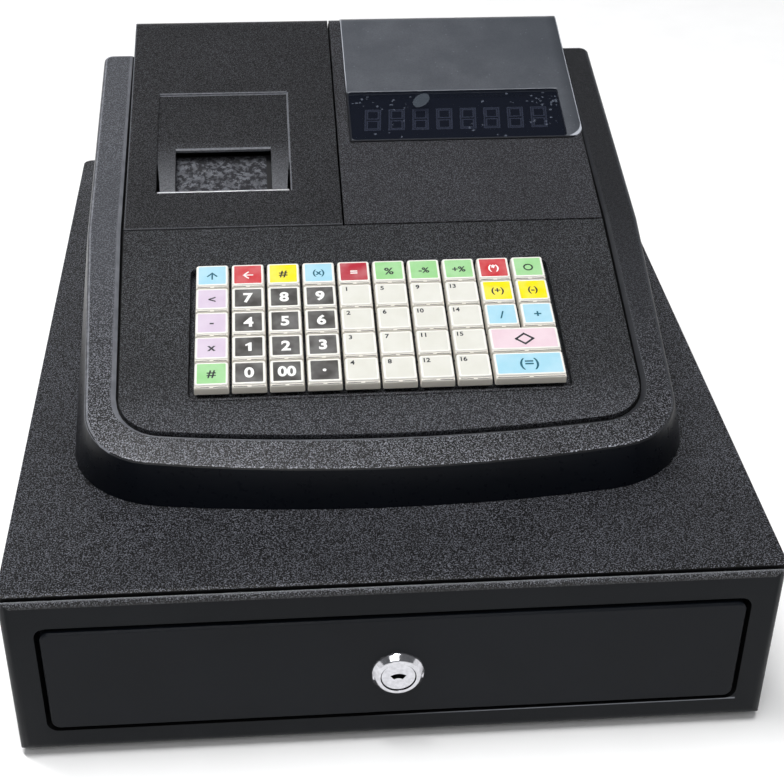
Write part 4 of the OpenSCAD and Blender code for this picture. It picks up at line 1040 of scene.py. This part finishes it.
def seam_lip():
    """Lip of the display cover in the gap beside the printer cover, a little below their tops."""
    shape = Shape(["inner"])
    lip_r, steps = HINGE_R - LIP_DOWN, 8
    top = [(LIP_U, -LIP_DOWN)]
    for i in range(steps + 1):
        a = math.radians(90 - 90 * i / steps) - REAR_T * i / steps
        top.append((HINGE_U + lip_r * math.cos(a), lip_r * math.sin(a) - HINGE_R))
    side = top + [(top[-1][0] - 1.0, LIP_REAR_W), (LIP_U, LIP_FRONT_W)]
    loops = [[(x, u, w) for u, w in reversed(side)] for x in (SPLIT_X + 0.1, SPLIT_X + 0.5)]
    shape.skin(loops, "inner", True, True)
    shape.piece("seam_lip", REAR, "register", "shell_plastic", 0)


guide_film()
tear_strip()
seam_lip()


# ---------------------------------------- stage, light and camera
# The camera: focal length and width of the photograph in its pixels, place in m, and its turn to the
# right, its tilt and its roll in degrees
CAMERA_F, PHOTO_W = 1527.0, 784.0
CAMERA_AT, CAMERA_TURN = (-0.046, -0.6885, 0.505), (4.98, -33.48, 0.79)
WORLD, FLOOR_GLOW = 0.17, 0.02
# Half the side of the floor, where it turns pure white, and the backdrop's radius, height and sides, m
FLOOR_S, FLOOR_FADE = 40.0, (0.9, 1.9)
WALL_R, WALL_H, WALL_SIDES = 38.0, 10.5, 64


def seen_rays(n):
    """1 for the rays of the camera, of reflections and of refractions."""
    path = n.add("ShaderNodeLightPath").outputs
    return n.highest(*(path["Is %s Ray" % kind] for kind in ("Camera", "Glossy", "Transmission")))


def stage_piece(name, verts, faces, mat):
    """A piece of the room, in metres."""
    mesh = bpy.data.meshes.new(name)
    mesh.from_pydata(verts, [], faces)
    mesh.materials.append(mat)
    obj = new_object(name, mesh)


def floor():
    """White floor. The camera, reflections and refractions see it a little lighter, and pure white
    far from the object."""
    n = Nodes("floor_white")
    seen = seen_rays(n)
    diffuse = n.add("ShaderNodeBsdfDiffuse")
    n.feed(diffuse.inputs["Color"], n.cloudy(40.0, srgb(247, 247, 247), srgb(250, 250, 250)))
    glow = n.add("ShaderNodeEmission")
    n.feed(glow.inputs["Strength"], n.times(seen, FLOOR_GLOW))
    both = n.add("ShaderNodeAddShader")
    n.feed(both.inputs[0], diffuse.outputs[0])
    n.feed(both.inputs[1], glow.outputs[0])
    x, y = n.axes(n.pos)[:2]
    far = n.remap(n.length(x, y), *FLOOR_FADE, 0.0, 1.0, True)
    white = n.add("ShaderNodeEmission")
    fade = n.add("ShaderNodeMixShader")
    n.feed(fade.inputs[0], n.times(seen, far))
    n.feed(fade.inputs[1], both.outputs[0])
    n.feed(fade.inputs[2], white.outputs[0])
    n.done(fade)
    s = FLOOR_S
    stage_piece("floor", [(-s, -s, 0), (s, -s, 0), (s, s, 0), (-s, s, 0)], [(0, 1, 2, 3)], n.mat)


def backdrop():
    """White wall far round the object. It only shows, and lets the light of the world through."""
    n = Nodes("backdrop_white")
    show = n.add("ShaderNodeMixShader")
    n.feed(show.inputs[0], seen_rays(n))
    n.feed(show.inputs[1], n.add("ShaderNodeBsdfTransparent").outputs[0])
    n.feed(show.inputs[2], n.add("ShaderNodeEmission").outputs[0])
    n.done(show)
    sides = WALL_SIDES
    ring = [(WALL_R * math.cos(a), WALL_R * math.sin(a)) for a in np.arange(sides) * math.tau / sides]
    verts = [(x, y, z) for z in (0, WALL_H) for x, y in ring]
    faces = [(i, (i + 1) % sides, sides + (i + 1) % sides, sides + i) for i in range(sides)]
    stage_piece("backdrop", verts, faces, n.mat)


def studio_world():
    """Faint, slightly blue light from all round."""
    world = bpy.data.worlds.new("studio")
    bpy.context.scene.world = world
    world.use_nodes = True
    background = world.node_tree.nodes["Background"]
    background.inputs["Color"].default_value = (0.95, 0.97, 1.0, 1)
    background.inputs["Strength"].default_value = WORLD


def lamp(name, place, target, size, power):
    """Soft rectangular lamp, in metres and watts."""
    light = bpy.data.lights.new(name, "AREA")
    light.shape = "RECTANGLE"
    light.size, light.size_y = size
    light.energy = power
    obj = new_object(name, light)
    obj.location = place
    obj.rotation_euler = (Vector(target) - Vector(place)).to_track_quat("-Z", "Y").to_euler()


def camera():
    """Camera at the photograph's place."""
    yaw, pitch, roll = (math.radians(v) for v in CAMERA_TURN)
    ahead = Vector((math.sin(yaw) * math.cos(pitch), math.cos(yaw) * math.cos(pitch), math.sin(pitch)))
    level = Vector((math.cos(yaw), -math.sin(yaw), 0))
    over = level.cross(ahead)
    right = level * math.cos(roll) + over * math.sin(roll)
    up = over * math.cos(roll) - level * math.sin(roll)
    place = Matrix((right, up, -ahead)).transposed().to_4x4()
    place.translation = CAMERA_AT
    cam = bpy.data.cameras.new("camera")
    cam.sensor_width = 36.0
    cam.lens = CAMERA_F * cam.sensor_width / PHOTO_W
    cam.clip_start, cam.clip_end = 0.01, 60.0
    obj = new_object("camera", cam)
    obj.matrix_world = place
    bpy.context.scene.camera = obj


floor()
backdrop()
studio_world()
lamp("key", (-0.4, -0.3, 3.1), (0, 0, 0.05), (2.6, 0.4), 106)
lamp("front", (-0.3, -1.2, 1.3), (0, 0, 0.05), (0.9, 0.5), 5)
lamp("rear_left", (-0.75, 1.7, 0.9), (0, 0, 0.05), (0.7, 0.6), 1.5)
camera()
bpy.context.scene.view_settings.view_transform = "Standard"
